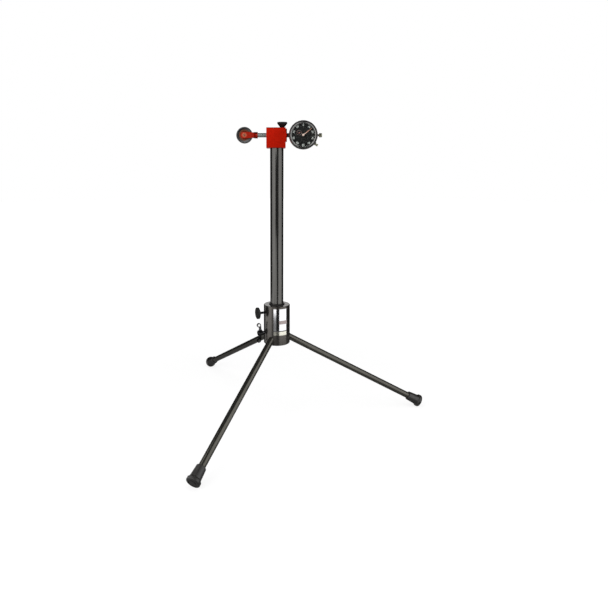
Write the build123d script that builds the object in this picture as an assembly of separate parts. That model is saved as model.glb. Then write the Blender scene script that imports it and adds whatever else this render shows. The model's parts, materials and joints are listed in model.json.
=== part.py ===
from build123d import *

import os
from math import acos, atan2, cos, degrees, hypot, pi, radians, sin, sqrt, tan

# Runout gauge on a three-legged stand. A roller on a sprung rod follows the thing being measured and
# drives a dial indicator. Millimetres, +Z up. The origin lies on the floor under the post. The dial
# faces -Y and the roller points to -X.

# Clearances
RUNNING = 0.05  # radial, between a shaft and the hole it turns or slides in
FACE_GAP = 0.1  # along an axis, between faces that move past each other
TIP_GAP = 0.3  # between a clamping tip and the surface that it tightens on

# Small chamfers
EDGE = 0.5  # on turned pieces
POINT = 0.8  # at the tips of clamping screws

# Legs
LEG_COUNT = 3
LEG_DIAMETER = 12.0
LEG_SLOPE = 28.1  # degrees below the horizontal
LEG_REACH = 300.4  # along the leg, from the hub's wall to the end of the foot
FIRST_LEG_ANGLE = 4.2  # degrees about Z, from +X
LEG_HOLE_LIFT = 10.3  # where a leg's axis meets the hub's wall, above the hub's lower face
LEG_SEAT_DEPTH = 2.9  # how far in from the hub's wall a leg's shoulder sits, on its axis
LEG_STUD_DIAMETER = 8.0
LEG_STUD_LENGTH = 7.0

# Rubber feet
FOOT_LENGTH = 28.0
FOOT_SOCKET_DEPTH = 21.0
FOOT_NECK_DIAMETER = 16.5
FOOT_WAIST_DIAMETER = 19.4
FOOT_DISC_DIAMETER = 23.5
FOOT_DISC_THICKNESS = 5.6
FOOT_EDGE = 2.0
SOLE_RING_DIAMETER = 13.6  # middle of the groove in the sole
SOLE_RING_WIDTH = 2.2
SOLE_RING_DEPTH = 0.9

# Hub
HUB_DIAMETER = 50.8
HUB_HEIGHT = 76.2
HUB_EDGE = 0.8
HUB_BORE_GAP = 0.3  # radial, round the post between the two bushes
BUSH_WALL = 1.3
GUIDE_BUSH_LENGTH = 11.0
GUIDE_FLANGE_WALL = 2.4
GUIDE_FLANGE_THICKNESS = 1.5
LOWER_BUSH_LENGTH = 8.0

# Foil label on the hub, plain
LABEL_THICKNESS = 0.3
LABEL_FROM = -104.0  # degrees about Z
LABEL_TO = -42.0
LABEL_DROP = 4.4  # below the hub's upper face
LABEL_HEIGHT = 51.8

# Clamping screws in the hub
CLAMP_ANGLE = 203.0  # degrees about Z
STUD_DIAMETER = 4.8
HUB_KNOB_DROP = 14.4  # the upper screw's axis, below the hub's upper face
HUB_KNOB_STANDOFF = 9.0  # from the hub's wall to the knob
HUB_KNOB_DIAMETER = 22.2
HUB_KNOB_LENGTH = 7.2
HUB_KNOB_RIM = 3.6  # width of the knob's edge
WING_LIFT = 22.7  # the lower screw's axis, above the hub's lower face
WING_SHANK_DIAMETER = 6.0
WING_STANDOFF = 6.0  # from the hub's wall to the boss
WING_BOSS_DIAMETER = 12.0
WING_BOSS_LENGTH = 8.4
WING_SPAN = 38.6
WING_REACH = 10.4  # along the axis, from the boss's inner face to the ears' outer ends
WING_EAR_WIDTH = 8.2
WING_WAIST = 5.0
WING_THICKNESS = 2.8

# Knobs
KNOB_NECK_DIAMETER = 6.4
KNOB_FLOOR = 2.6  # between the stud's end and the dished face
KNOB_DISH_DEPTH = 0.9
KNOB_FLUTES = 12
KNOB_FLUTE_DEPTH = 0.5

# Post
POST_DIAMETER = 25.4
POST_WALL = 2.0
POST_LENGTH = 390.0
POST_LIFT = 2.1  # the post's lower end at rest, above the hub's lower face
PLUG_RIM = 2.0
PLUG_LENGTH = 14.0

# Head block
BLOCK_LENGTH = 36.0
BLOCK_WIDTH = 38.0
BLOCK_HEIGHT = 37.4
BLOCK_LEFT = -19.6
BLOCK_EDGE = 0.6
SOCKET_DEPTH = 15.2
BORE_DROP = 13.2  # the cross bore's axis, below the block's upper face
BORE_DIAMETER = 12.0
ROD_BUSH_LENGTH = 14.0
SET_SCREW_DIAMETER = 6.0
SET_SCREW_RECESS = 0.4  # below the block's rear face
SET_SCREW_LIFT = 7.4
HEX_WIDTH = 3.0
HEX_DEPTH = 2.6

# Split collar that grips the indicator's stem
COLLAR_LENGTH = 12.0
COLLAR_FLANGE_DIAMETER = 25.0
COLLAR_FLANGE_THICKNESS = 2.4
COLLAR_SPLIT = 1.0
HEAD_KNOB_INSET = 6.2  # the clamping stud's axis, from the block's right face
HEAD_KNOB_STANDOFF = 0.3
HEAD_KNOB_DIAMETER = 18.8
HEAD_KNOB_LENGTH = 10.8
HEAD_KNOB_RIM = 2.8

# Push rod, fork and roller
ROD_DIAMETER = 8.0
ROD_SPIGOT_DIAMETER = 5.0
ROD_SPIGOT_LENGTH = 6.0
TRAVEL = 12.7
ROD_STOP_GAP = 1.3  # left between the rod and the stem at full travel
FORK_STOP_GAP = 3.7  # left between the fork and the block at full travel
FORK_REACH = 24.9  # from the fork's end to the axle
FORK_COLLAR_DIAMETER = 12.0
FORK_COLLAR_LENGTH = 4.6
FORK_NECK_HEIGHT = 9.5
FORK_NECK_X = 8.2  # the neck's narrowest place, from the fork's end
FORK_EAR_THICKNESS = 3.2
FORK_BLANK_DIAMETER = 20.0
FORK_SHOULDER = 3.8  # length over which the turned blank widens from the collar
FORK_EAR_RADIUS = 7.0
ROLLER_DIAMETER = 30.7
ROLLER_WIDTH = 9.0
ROLLER_GAP = 0.5  # between the roller and each ear, and round it in the slot
TYRE_THICKNESS = 5.2
TYRE_CROWN = 1.6
RIM_LIP = 1.6
ROLLER_WEB_THICKNESS = 5.0
ROLLER_BUSH_WALL = 1.4
AXLE_DIAMETER = 4.5
AXLE_PROUD = 0.8
CLIP_DIAMETER = 8.0
CLIP_THICKNESS = 0.6
CLIP_NECK_DIAMETER = 3.5

# Dial indicator: the case and what is fixed to it
STEM_DIAMETER = 8.0
STEM_INSERT = 11.4  # from the block's right face to the stem's end inside it
STEM_EXPOSED = 3.5  # between the collar and the bezel
CASE_WALL = 2.0
CASE_BACK = -8.0  # depths are measured from the stem's axis towards the viewer
CASE_RISE = 1.5  # the wall's front edge, beyond the web
WEB_THICKNESS = 1.5
DIAL_RISE = 0.3  # the inner dial's seat, beyond the wall's front edge
COVER_THICKNESS = 1.5
COVER_SCREWS = 4
COVER_SCREW_INSET = 3.8  # from the case's outside to each screw
COVER_SCREW_DIAMETER = 2.0
COVER_SCREW_HEAD = 3.6
COVER_SCREW_LENGTH = 5.0
COVER_BOSS_DIAMETER = 4.4
SPINDLE_DIAMETER = 4.0
SPINDLE_NOSE_DIAMETER = 2.5
SPINDLE_NOSE_LENGTH = 6.0
END_BUSH_DIAMETER = 7.0
END_BUSH_OUT = 2.4  # beyond the case's wall
END_KNOB_DIAMETER = 7.8
END_KNOB_LENGTH = 5.5
END_KNOB_STANDOFF = 3.2  # from the bezel's edge to the knob

# Dial indicator: bezel, dial and hands
BEZEL_DIAMETER = 54.0
BEZEL_WALL = 1.95  # of the skirt round the case
BEZEL_SKIRT = 3.4  # how far the bezel reaches back over the case
BEZEL_RIM = 4.5  # from the bezel's outside to its opening
BEZEL_LIP = 0.6
BEZEL_KNURLS = 60
BEZEL_KNURL_DEPTH = 0.4
SNAP_RING_DROP = 1.8  # behind the case's front edge
SNAP_RING_THICKNESS = 0.8
SNAP_RING_DEPTH = 0.7  # into the case's wall
SNAP_RING_PROUD = 0.4  # into the bezel's groove
SNAP_RING_MOUTH = 4.0
CRYSTAL_RIM = 3.0  # from the bezel's outside to the crystal's edge
CRYSTAL_THICKNESS = 1.2
CRYSTAL_GAP = 0.8  # between the main hand and the crystal
CARD_THICKNESS = 0.5
CARD_SPLIT_RADIUS = 16.8
HAND_GAP = 0.5  # between the two hands
HAND_THICKNESS = 0.4
HAND_TIP_GAP = 1.7  # between the hand's tip and the bezel's opening
HAND_TAIL = 5.0
HAND_ANGLE = 52.4  # degrees clockwise from the top
HAND_BOSS_DIAMETER = 4.4
HAND_BOSS_PROUD = 0.4
COUNTER_X = -7.7
COUNTER_Y = 3.83
COUNTER_GAP = 0.3  # between the dial and the counter's hand
COUNTER_HAND_THICKNESS = 0.3
COUNTER_HAND_LENGTH = 3.6
COUNTER_HAND_ANGLE = 60.0
ARBOR_DIAMETER = 1.2

# Dial indicator: the movement
RACK_PITCH = 0.635
RACK_DROP = 0.5  # the rack's pitch line, inside the spindle's surface
RACK_PINION_TEETH = 16
TRAIN_WHEEL_TEETH = 48
CENTRE_PINION_TEETH = 12
TRAIN_MODULE = 0.3
COUNTER_WHEEL_TEETH = 50
COUNTER_PINION_TEETH = 10
TOOTH_FILL = 0.42  # tooth thickness on the pitch circle, as a share of the pitch
ADDENDUM = 0.8  # in modules
DEDENDUM = 1.2
PRESSURE_ANGLE = 20.0
RACK_PINION_WIDTH = 2.0
WHEEL_THICKNESS = 0.5
PINION_WIDTH = 0.9
LAYER_GAP = 0.2  # between one layer of the movement and the next
FRONT_BRIDGE_THICKNESS = 0.6
REAR_BRIDGE_GAP = 0.6  # between the spindle and the bridge behind it
REAR_BRIDGE_THICKNESS = 0.8
BRIDGE_WIDTH = 4.0
PILLAR_DIAMETER = 2.4
PILLAR_SPREAD = 9.7  # from the middle of a bridge to each pillar
KEY_DIAMETER = 1.5
KEY_X = -16.0
KEY_REACH = 4.2
GUIDE_WIDTH = 4.4
GUIDE_GAP = 0.4  # between the spindle and its guide
GUIDE_WALL = 1.6

# Bezel clamp
CLIP_ANGLE = -35.0  # degrees about the dial's axis
CLIP_WIDTH = 6.0
CLIP_BACK = -2.4
CLIP_HEIGHT = 2.6
CLIP_HOOK = 1.8
CLIP_SCREW_DIAMETER = 2.0
CLIP_SCREW_HEAD = 4.6
CLIP_SCREW_HEAD_LENGTH = 3.8
CLIP_SCREW_NECK = 1.6

# Heights and places that follow from the sizes above
WALL_RADIUS = HUB_DIAMETER / 2
FOOT_RIM = FOOT_DISC_DIAMETER / 2 - FOOT_EDGE
WALL_Z = (
    (LEG_REACH - FOOT_EDGE) * sin(radians(LEG_SLOPE))
    + FOOT_RIM * cos(radians(LEG_SLOPE))
    + FOOT_EDGE
)
HUB_BASE = WALL_Z - LEG_HOLE_LIFT
HUB_TOP = HUB_BASE + HUB_HEIGHT
POST_BASE = HUB_BASE + POST_LIFT
POST_TOP = POST_BASE + POST_LENGTH
POST_RADIUS = POST_DIAMETER / 2
BLOCK_BASE = POST_TOP - SOCKET_DEPTH
BLOCK_TOP = BLOCK_BASE + BLOCK_HEIGHT
BLOCK_RIGHT = BLOCK_LEFT + BLOCK_LENGTH
AXIS_Z = BLOCK_TOP - BORE_DROP
COLLAR_RIGHT = BLOCK_RIGHT + FACE_GAP + COLLAR_FLANGE_THICKNESS
STEM_END = BLOCK_RIGHT - STEM_INSERT
ROD_END = STEM_END - TRAVEL - ROD_STOP_GAP
FORK_END = BLOCK_LEFT - TRAVEL - FORK_STOP_GAP
ROLLER_X = FORK_END - FORK_REACH
FORK_WIDTH = ROLLER_WIDTH + 2 * (ROLLER_GAP + FORK_EAR_THICKNESS)
DIAL_X = COLLAR_RIGHT + STEM_EXPOSED + BEZEL_DIAMETER / 2
BUSH_RADIUS = POST_RADIUS + RUNNING + BUSH_WALL
CASE_RADIUS = BEZEL_DIAMETER / 2 - BEZEL_WALL - RUNNING
BEZEL_OPENING = BEZEL_DIAMETER - 2 * BEZEL_RIM
CRYSTAL_DIAMETER = BEZEL_DIAMETER - 2 * CRYSTAL_RIM
HAND_LENGTH = BEZEL_OPENING / 2 - HAND_TIP_GAP
RACK_LINE = SPINDLE_DIAMETER / 2 - RACK_DROP
RACK_MODULE = RACK_PITCH / pi
RACK_ARBOR_Y = RACK_LINE + RACK_MODULE * RACK_PINION_TEETH / 2
TRAIN_DISTANCE = TRAIN_MODULE * (TRAIN_WHEEL_TEETH + CENTRE_PINION_TEETH) / 2
RACK_ARBOR_X = sqrt(TRAIN_DISTANCE**2 - RACK_ARBOR_Y**2)
COUNTER_DISTANCE = hypot(COUNTER_X, COUNTER_Y)
COUNTER_MODULE = 2 * COUNTER_DISTANCE / (COUNTER_WHEEL_TEETH + COUNTER_PINION_TEETH)

# Layers of the indicator, from the spindle's axis towards the viewer
FRONT_BRIDGE_DEPTH = SPINDLE_DIAMETER / 2 + LAYER_GAP
COUNTER_WHEEL_DEPTH = FRONT_BRIDGE_DEPTH + FRONT_BRIDGE_THICKNESS + LAYER_GAP
CENTRE_PINION_DEPTH = COUNTER_WHEEL_DEPTH + WHEEL_THICKNESS + LAYER_GAP
TRAIN_WHEEL_DEPTH = CENTRE_PINION_DEPTH + (PINION_WIDTH - WHEEL_THICKNESS) / 2
WEB_BACK = CENTRE_PINION_DEPTH + PINION_WIDTH + 2 * LAYER_GAP
WEB_FRONT = WEB_BACK + WEB_THICKNESS
CASE_FRONT = WEB_FRONT + CASE_RISE
DIAL_SEAT = CASE_FRONT + DIAL_RISE
CARD_BACK = DIAL_SEAT + FACE_GAP
COUNTER_DEPTH = CARD_BACK + CARD_THICKNESS + COUNTER_GAP
HAND_DEPTH = COUNTER_DEPTH + COUNTER_HAND_THICKNESS + HAND_GAP
BEZEL_BACK = CASE_FRONT - BEZEL_SKIRT
BEZEL_FRONT = HAND_DEPTH + HAND_THICKNESS + CRYSTAL_GAP + CRYSTAL_THICKNESS + BEZEL_LIP
SNAP_RING_BACK = CASE_FRONT - SNAP_RING_DROP
DIAL_SEAT_RADIUS = CARD_SPLIT_RADIUS - TIP_GAP
REAR_BRIDGE_DEPTH = -SPINDLE_DIAMETER / 2 - REAR_BRIDGE_GAP - REAR_BRIDGE_THICKNESS
GUIDE_TOP = -SPINDLE_DIAMETER / 2 - GUIDE_GAP

# Frames: local Z runs along +X in the cross bore, and towards the viewer in the dial and the roller
BORE_FRAME = Plane(origin=(0, 0, AXIS_Z), x_dir=(0, 1, 0), z_dir=(1, 0, 0)).location
DIAL_FRAME = Plane(origin=(DIAL_X, 0, AXIS_Z), x_dir=(1, 0, 0), z_dir=(0, -1, 0)).location
ROLLER_FRAME = Plane(origin=(ROLLER_X, 0, AXIS_Z), x_dir=(1, 0, 0), z_dir=(0, -1, 0)).location


def bar(radius, start, end):
    """Round bar about Z from start to end."""
    return Pos(0, 0, start) * Cylinder(radius, end - start, align=(Align.CENTER, Align.CENTER, Align.MIN))


def ring(outer, inner, start, end):
    """Tube about Z, given by its two radii."""
    return bar(outer, start, end) - bar(inner, start, end)


def turned(outline, rounds=None):
    """Turned piece about Z from (radius, height) points. rounds gives a point's number its corner radius."""
    profile = make_face(Polyline(*outline, close=True))
    for number, radius in (rounds or {}).items():
        corner = profile.vertices().sort_by_distance((*outline[number], 0))[0]
        profile = fillet(corner, radius)
    return revolve(Plane.XZ * profile, Axis.Z)


def chamfered_bar(radius, start, end, edge):
    """Round bar about Z with its far end chamfered."""
    return turned([(0, start), (radius, start), (radius, end - edge), (radius - edge, end), (0, end)])


def along(x, y, z, direction, x_dir=None):
    """Frame at a point with local Z along direction."""
    return Plane(origin=(x, y, z), x_dir=x_dir, z_dir=direction).location


def leg_frame(number):
    """Frame of one leg: origin where its axis meets the hub's wall, local Z outwards and down."""
    angle = radians(FIRST_LEG_ANGLE + number * 360 / LEG_COUNT)
    slope = radians(LEG_SLOPE)
    direction = (cos(angle) * cos(slope), sin(angle) * cos(slope), -sin(slope))
    return along(WALL_RADIUS * cos(angle), WALL_RADIUS * sin(angle), WALL_Z, direction)


def clamp_frame(height):
    """Frame of a clamping screw in the hub: origin on the hub's axis, local Z outwards, local X up."""
    angle = radians(CLAMP_ANGLE)
    return along(0, 0, height, (cos(angle), sin(angle), 0), (0, 0, 1))


RACK_ARBOR = DIAL_FRAME * Pos(RACK_ARBOR_X, RACK_ARBOR_Y)
COUNTER_ARBOR = DIAL_FRAME * Pos(COUNTER_X, COUNTER_Y)
BRIDGE_SHIFT = RACK_ARBOR_Y - LAYER_GAP
LEG_SEAT = -LEG_SEAT_DEPTH / cos(radians(LEG_SLOPE))
UPPER_CLAMP = clamp_frame(HUB_TOP - HUB_KNOB_DROP)
LOWER_CLAMP = clamp_frame(HUB_BASE + WING_LIFT)
TOP_CLAMP = Pos(BLOCK_RIGHT - HEAD_KNOB_INSET, 0, 0)


def hub():
    """Round hub: post bore, bush seats at both ends, three sloping leg holes and two clamping holes."""
    body = turned(
        [
            (POST_RADIUS + HUB_BORE_GAP, HUB_BASE + LOWER_BUSH_LENGTH),
            (BUSH_RADIUS, HUB_BASE + LOWER_BUSH_LENGTH),
            (BUSH_RADIUS, HUB_BASE),
            (WALL_RADIUS - HUB_EDGE, HUB_BASE),
            (WALL_RADIUS, HUB_BASE + HUB_EDGE),
            (WALL_RADIUS, HUB_TOP - HUB_EDGE),
            (WALL_RADIUS - HUB_EDGE, HUB_TOP),
            (BUSH_RADIUS, HUB_TOP),
            (BUSH_RADIUS, HUB_TOP - GUIDE_BUSH_LENGTH),
            (POST_RADIUS + HUB_BORE_GAP, HUB_TOP - GUIDE_BUSH_LENGTH),
        ]
    )
    for number in range(LEG_COUNT):
        seat = bar(LEG_DIAMETER / 2, LEG_SEAT, LEG_DIAMETER)
        hole = bar(LEG_STUD_DIAMETER / 2, LEG_SEAT - LEG_STUD_LENGTH, LEG_SEAT)
        body -= leg_frame(number) * (seat + hole)
    body -= UPPER_CLAMP * bar(STUD_DIAMETER / 2 + RUNNING, 0, HUB_DIAMETER)
    body -= LOWER_CLAMP * bar(WING_SHANK_DIAMETER / 2 + RUNNING, 0, HUB_DIAMETER)
    return body


def guide_bush():
    """Flanged bush that guides the post at the hub's mouth."""
    bore = POST_RADIUS + RUNNING
    return turned(
        [
            (bore, HUB_TOP - GUIDE_BUSH_LENGTH),
            (BUSH_RADIUS, HUB_TOP - GUIDE_BUSH_LENGTH),
            (BUSH_RADIUS, HUB_TOP),
            (bore + GUIDE_FLANGE_WALL, HUB_TOP),
            (bore + GUIDE_FLANGE_WALL, HUB_TOP + GUIDE_FLANGE_THICKNESS - EDGE),
            (bore + GUIDE_FLANGE_WALL - EDGE, HUB_TOP + GUIDE_FLANGE_THICKNESS),
            (bore, HUB_TOP + GUIDE_FLANGE_THICKNESS),
        ]
    )


def lower_bush():
    """Plain bush that guides the post at the hub's lower end."""
    return ring(BUSH_RADIUS, POST_RADIUS + RUNNING, HUB_BASE, HUB_BASE + LOWER_BUSH_LENGTH)


def leg_rod():
    """Straight leg in its own frame, with a stud turned on its upper end."""
    foot_start = LEG_REACH - FOOT_LENGTH
    stud = LEG_STUD_DIAMETER / 2
    radius = LEG_DIAMETER / 2
    edge = EDGE
    return turned(
        [
            (0, LEG_SEAT - LEG_STUD_LENGTH),
            (stud - edge, LEG_SEAT - LEG_STUD_LENGTH),
            (stud, LEG_SEAT - LEG_STUD_LENGTH + edge),
            (stud, LEG_SEAT),
            (radius, LEG_SEAT),
            (radius, foot_start + FOOT_SOCKET_DEPTH - edge),
            (radius - edge, foot_start + FOOT_SOCKET_DEPTH),
            (0, foot_start + FOOT_SOCKET_DEPTH),
        ]
    )


def foot():
    """Rubber ferrule in its leg's frame: a tapered sleeve that flares to a thick disc with a ringed sole."""
    start = LEG_REACH - FOOT_LENGTH
    disc = LEG_REACH - FOOT_DISC_THICKNESS
    socket = LEG_DIAMETER / 2
    sole_ring = (SOLE_RING_DIAMETER - SOLE_RING_WIDTH) / 2
    groove = ring(sole_ring + SOLE_RING_WIDTH, sole_ring, LEG_REACH - SOLE_RING_DEPTH, LEG_REACH + 1)
    body = turned(
        [
            (0, start + FOOT_SOCKET_DEPTH),
            (socket, start + FOOT_SOCKET_DEPTH),
            (socket, start),
            (FOOT_NECK_DIAMETER / 2, start),
            (FOOT_WAIST_DIAMETER / 2, disc - FOOT_EDGE),
            (FOOT_DISC_DIAMETER / 2, disc),
            (FOOT_DISC_DIAMETER / 2, LEG_REACH),
            (0, LEG_REACH),
        ],
        {3: FOOT_EDGE * 0.8, 4: FOOT_EDGE * 1.5, 5: FOOT_EDGE * 0.6, 6: FOOT_EDGE},
    )
    return body - groove


def label_plate():
    """Thin plain plate that wraps part of the hub's wall."""
    outer = WALL_RADIUS + LABEL_THICKNESS
    sweep = LABEL_TO - LABEL_FROM
    top = HUB_TOP - LABEL_DROP
    profile = Pos(WALL_RADIUS, top - LABEL_HEIGHT) * Rectangle(
        outer - WALL_RADIUS, LABEL_HEIGHT, align=(Align.MIN, Align.MIN)
    )
    return Rot(0, 0, LABEL_FROM) * revolve(Plane.XZ * profile, Axis.Z, sweep)


def clamp_stud(tip, end):
    """Clamping stud about Z, its chamfered tip at the lower end."""
    radius = STUD_DIAMETER / 2
    return turned([(0, tip), (radius - POINT, tip), (radius, tip + POINT), (radius, end), (0, end)])


def stud_end(knob_top):
    """Where a stud ends inside its knob."""
    return knob_top - KNOB_DISH_DEPTH - KNOB_FLOOR


def clamp_knob(diameter, start, top, rim_width):
    """Flared knob about Z: cone from a small neck to a fluted rim, with a dished outer face."""
    rim = diameter / 2
    stud = STUD_DIAMETER / 2
    knob = turned(
        [
            (0, stud_end(top)),
            (stud, stud_end(top)),
            (stud, start),
            (KNOB_NECK_DIAMETER / 2, start),
            (rim, top - rim_width),
            (rim, top),
            (rim * 0.7, top),
            (rim * 0.6, top - KNOB_DISH_DEPTH),
            (0, top - KNOB_DISH_DEPTH),
        ],
        {3: 0.4, 4: 0.6, 5: 0.6},
    )
    flute = bar(KNOB_FLUTE_DEPTH * 2, start, top + 1)
    return knob - PolarLocations(rim + KNOB_FLUTE_DEPTH, KNOB_FLUTES) * flute


def wing_ear():
    """Outline of one ear in the plane of the screw's axis: a waist at the boss and a round outer end."""
    half = WING_EAR_WIDTH / 2
    tip_x = WING_SPAN / 2 - half
    tip_y = WING_REACH - half
    waist_x = (WING_BOSS_DIAMETER / 2 + tip_x) / 2
    low = (WING_BOSS_LENGTH - WING_WAIST) / 2
    high = low + WING_WAIST
    outer = Spline((0, high), (waist_x, high), (tip_x, tip_y + half), tangents=((1, 0), (1, 0)))
    end = ThreePointArc((tip_x, tip_y + half), (tip_x + half, tip_y), (tip_x, tip_y - half))
    inner = Spline((tip_x, tip_y - half), (waist_x, low), (0, low), tangents=((-1, 0), (-1, 0)))
    return make_face(outer + end + inner + Line((0, low), (0, high)))


def wing_screw():
    """Winged clamping screw in its clamp's frame: shank, conical boss and two ears."""
    tip = POST_RADIUS + TIP_GAP
    face = WALL_RADIUS + WING_STANDOFF
    shank = WING_SHANK_DIAMETER / 2
    boss = WING_BOSS_DIAMETER / 2
    body = turned(
        [
            (0, tip),
            (shank - POINT, tip),
            (shank, tip + POINT),
            (shank, face),
            (boss, face),
            (boss * 0.8, face + WING_BOSS_LENGTH),
            (0, face + WING_BOSS_LENGTH),
        ],
        {4: 0.5, 5: 1.0},
    )
    ear = extrude(Plane.XZ * wing_ear(), WING_THICKNESS / 2, both=True)
    ears = Pos(0, 0, face) * (ear + Rot(0, 0, 180) * ear)
    return body + ears


def post_tube():
    """Tube that slides in the hub and carries the head."""
    radius = POST_RADIUS
    bore = radius - POST_WALL
    return turned(
        [
            (bore, POST_BASE),
            (radius - EDGE, POST_BASE),
            (radius, POST_BASE + EDGE),
            (radius, POST_TOP - EDGE),
            (radius - EDGE, POST_TOP),
            (bore, POST_TOP),
        ]
    )


def post_plug():
    """Moulded cap in the post's lower end, hollow above."""
    bore = POST_RADIUS - POST_WALL
    return turned(
        [
            (0, POST_BASE - PLUG_RIM),
            (POST_RADIUS - 2 * EDGE, POST_BASE - PLUG_RIM),
            (POST_RADIUS - EDGE, POST_BASE - PLUG_RIM + EDGE),
            (POST_RADIUS - EDGE, POST_BASE),
            (bore, POST_BASE),
            (bore, POST_BASE + PLUG_LENGTH),
            (bore - PLUG_RIM, POST_BASE + PLUG_LENGTH),
            (bore - PLUG_RIM, POST_BASE + PLUG_RIM),
            (0, POST_BASE + PLUG_RIM),
        ]
    )


def head_block():
    """Block on the post: a socket from below, a cross bore, a clamping hole and a set screw behind."""
    box = Box(BLOCK_LENGTH, BLOCK_WIDTH, BLOCK_HEIGHT)
    block = Pos((BLOCK_LEFT + BLOCK_RIGHT) / 2, 0, BLOCK_BASE + BLOCK_HEIGHT / 2) * box
    block = chamfer(block.edges(), BLOCK_EDGE)
    block -= bar(POST_RADIUS + RUNNING, BLOCK_BASE - 1, POST_TOP + FACE_GAP)
    block -= BORE_FRAME * bar(BORE_DIAMETER / 2, BLOCK_LEFT - 1, BLOCK_RIGHT + 1)
    block -= TOP_CLAMP * bar(STUD_DIAMETER / 2 + RUNNING, AXIS_Z, BLOCK_TOP + 1)
    block -= SCREW_FRAME * bar(SET_SCREW_DIAMETER / 2, 0, BLOCK_WIDTH)
    return block


SCREW_FRAME = along(0, 0, BLOCK_BASE + SET_SCREW_LIFT, (0, 1, 0))


def post_set_screw():
    """Socket set screw behind the block, which holds it on the post."""
    start = POST_RADIUS + FACE_GAP
    end = BLOCK_WIDTH / 2 - SET_SCREW_RECESS
    screw = chamfered_bar(SET_SCREW_DIAMETER / 2, start, end, EDGE)
    hexagon = RegularPolygon(HEX_WIDTH / 2, 6, major_radius=False)
    return SCREW_FRAME * (screw - Pos(0, 0, end - HEX_DEPTH) * extrude(hexagon, HEX_DEPTH))


def rod_bush():
    """Bush in the block's left side, in which the push rod slides."""
    return BORE_FRAME * ring(
        BORE_DIAMETER / 2, ROD_DIAMETER / 2 + RUNNING, BLOCK_LEFT, BLOCK_LEFT + ROD_BUSH_LENGTH
    )


def stem_collar():
    """Flanged collar split along its lower side, which the clamping stud closes on the indicator's stem."""
    sleeve = BORE_DIAMETER / 2 - RUNNING
    flange = COLLAR_FLANGE_DIAMETER / 2
    flange_left = BLOCK_RIGHT + FACE_GAP
    collar = turned(
        [
            (STEM_DIAMETER / 2 + RUNNING, BLOCK_RIGHT - COLLAR_LENGTH),
            (sleeve, BLOCK_RIGHT - COLLAR_LENGTH),
            (sleeve, flange_left),
            (flange, flange_left),
            (flange, COLLAR_RIGHT - EDGE),
            (flange - EDGE, COLLAR_RIGHT),
            (STEM_DIAMETER / 2 + RUNNING, COLLAR_RIGHT),
        ]
    )
    length = COLLAR_RIGHT - BLOCK_RIGHT + COLLAR_LENGTH
    split = Pos(0, -flange / 2, BLOCK_RIGHT - COLLAR_LENGTH + length / 2) * Box(COLLAR_SPLIT, flange, length)
    return BORE_FRAME * (collar - split)


def push_rod():
    """Polished rod that carries the fork and is bored for the indicator's spindle."""
    radius = ROD_DIAMETER / 2
    spigot = ROD_SPIGOT_DIAMETER / 2
    nose = SPINDLE_NOSE_DIAMETER / 2
    return BORE_FRAME * turned(
        [
            (0, FORK_END - ROD_SPIGOT_LENGTH),
            (spigot, FORK_END - ROD_SPIGOT_LENGTH),
            (spigot, FORK_END),
            (radius, FORK_END),
            (radius, ROD_END - EDGE),
            (radius - EDGE, ROD_END),
            (nose, ROD_END),
            (nose, ROD_END - SPINDLE_NOSE_LENGTH),
            (0, ROD_END - SPINDLE_NOSE_LENGTH),
        ]
    )


def fork_outline():
    """Side view of the fork from its neck to the round end of its ears, about the axle."""
    neck_x = FORK_REACH - FORK_NECK_X
    half = FORK_NECK_HEIGHT / 2
    collar_x = FORK_REACH - FORK_COLLAR_LENGTH
    touch = acos((FORK_EAR_RADIUS - half) / sqrt(neck_x**2))
    ear = FORK_EAR_RADIUS
    high = (ear * cos(touch), ear * sin(touch))
    low = (high[0], -high[1])
    return make_face(
        Polyline(high, (neck_x, half), (collar_x, FORK_COLLAR_DIAMETER / 2))
        + Line((collar_x, FORK_COLLAR_DIAMETER / 2), (collar_x, -FORK_COLLAR_DIAMETER / 2))
        + Polyline((collar_x, -FORK_COLLAR_DIAMETER / 2), (neck_x, -half), low)
        + ThreePointArc(low, (-ear, 0), high)
    )


def fork():
    """Fork turned from round bar: a collar on the rod, a waisted neck, and two flat-sided ears."""
    collar = FORK_COLLAR_DIAMETER / 2
    blank = FORK_BLANK_DIAMETER / 2
    neck = FORK_END - FORK_COLLAR_LENGTH
    shoulder = neck - FORK_SHOULDER
    tip = ROLLER_X - FORK_EAR_RADIUS - 1
    turned_blank = turned([(0, tip), (blank, tip), (blank, shoulder), (collar, neck), (0, neck)])
    slot_width = ROLLER_WIDTH + 2 * ROLLER_GAP
    slot_end = ROLLER_DIAMETER / 2 + ROLLER_GAP
    slot = Pos(slot_end, 0, 0) * Box(
        slot_end * 3, FORK_EAR_RADIUS * 4, slot_width, align=(Align.MAX, Align.CENTER, Align.CENTER)
    )
    ears = extrude(fork_outline(), FORK_WIDTH / 2, both=True) - slot
    ears -= bar(AXLE_DIAMETER / 2, -FORK_WIDTH, FORK_WIDTH)
    body = (ROLLER_FRAME * ears) & (BORE_FRAME * turned_blank)
    body += BORE_FRAME * bar(collar, neck, FORK_END)
    socket = bar(ROD_SPIGOT_DIAMETER / 2, FORK_END - ROD_SPIGOT_LENGTH, FORK_END + 1)
    return body - BORE_FRAME * socket


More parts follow.
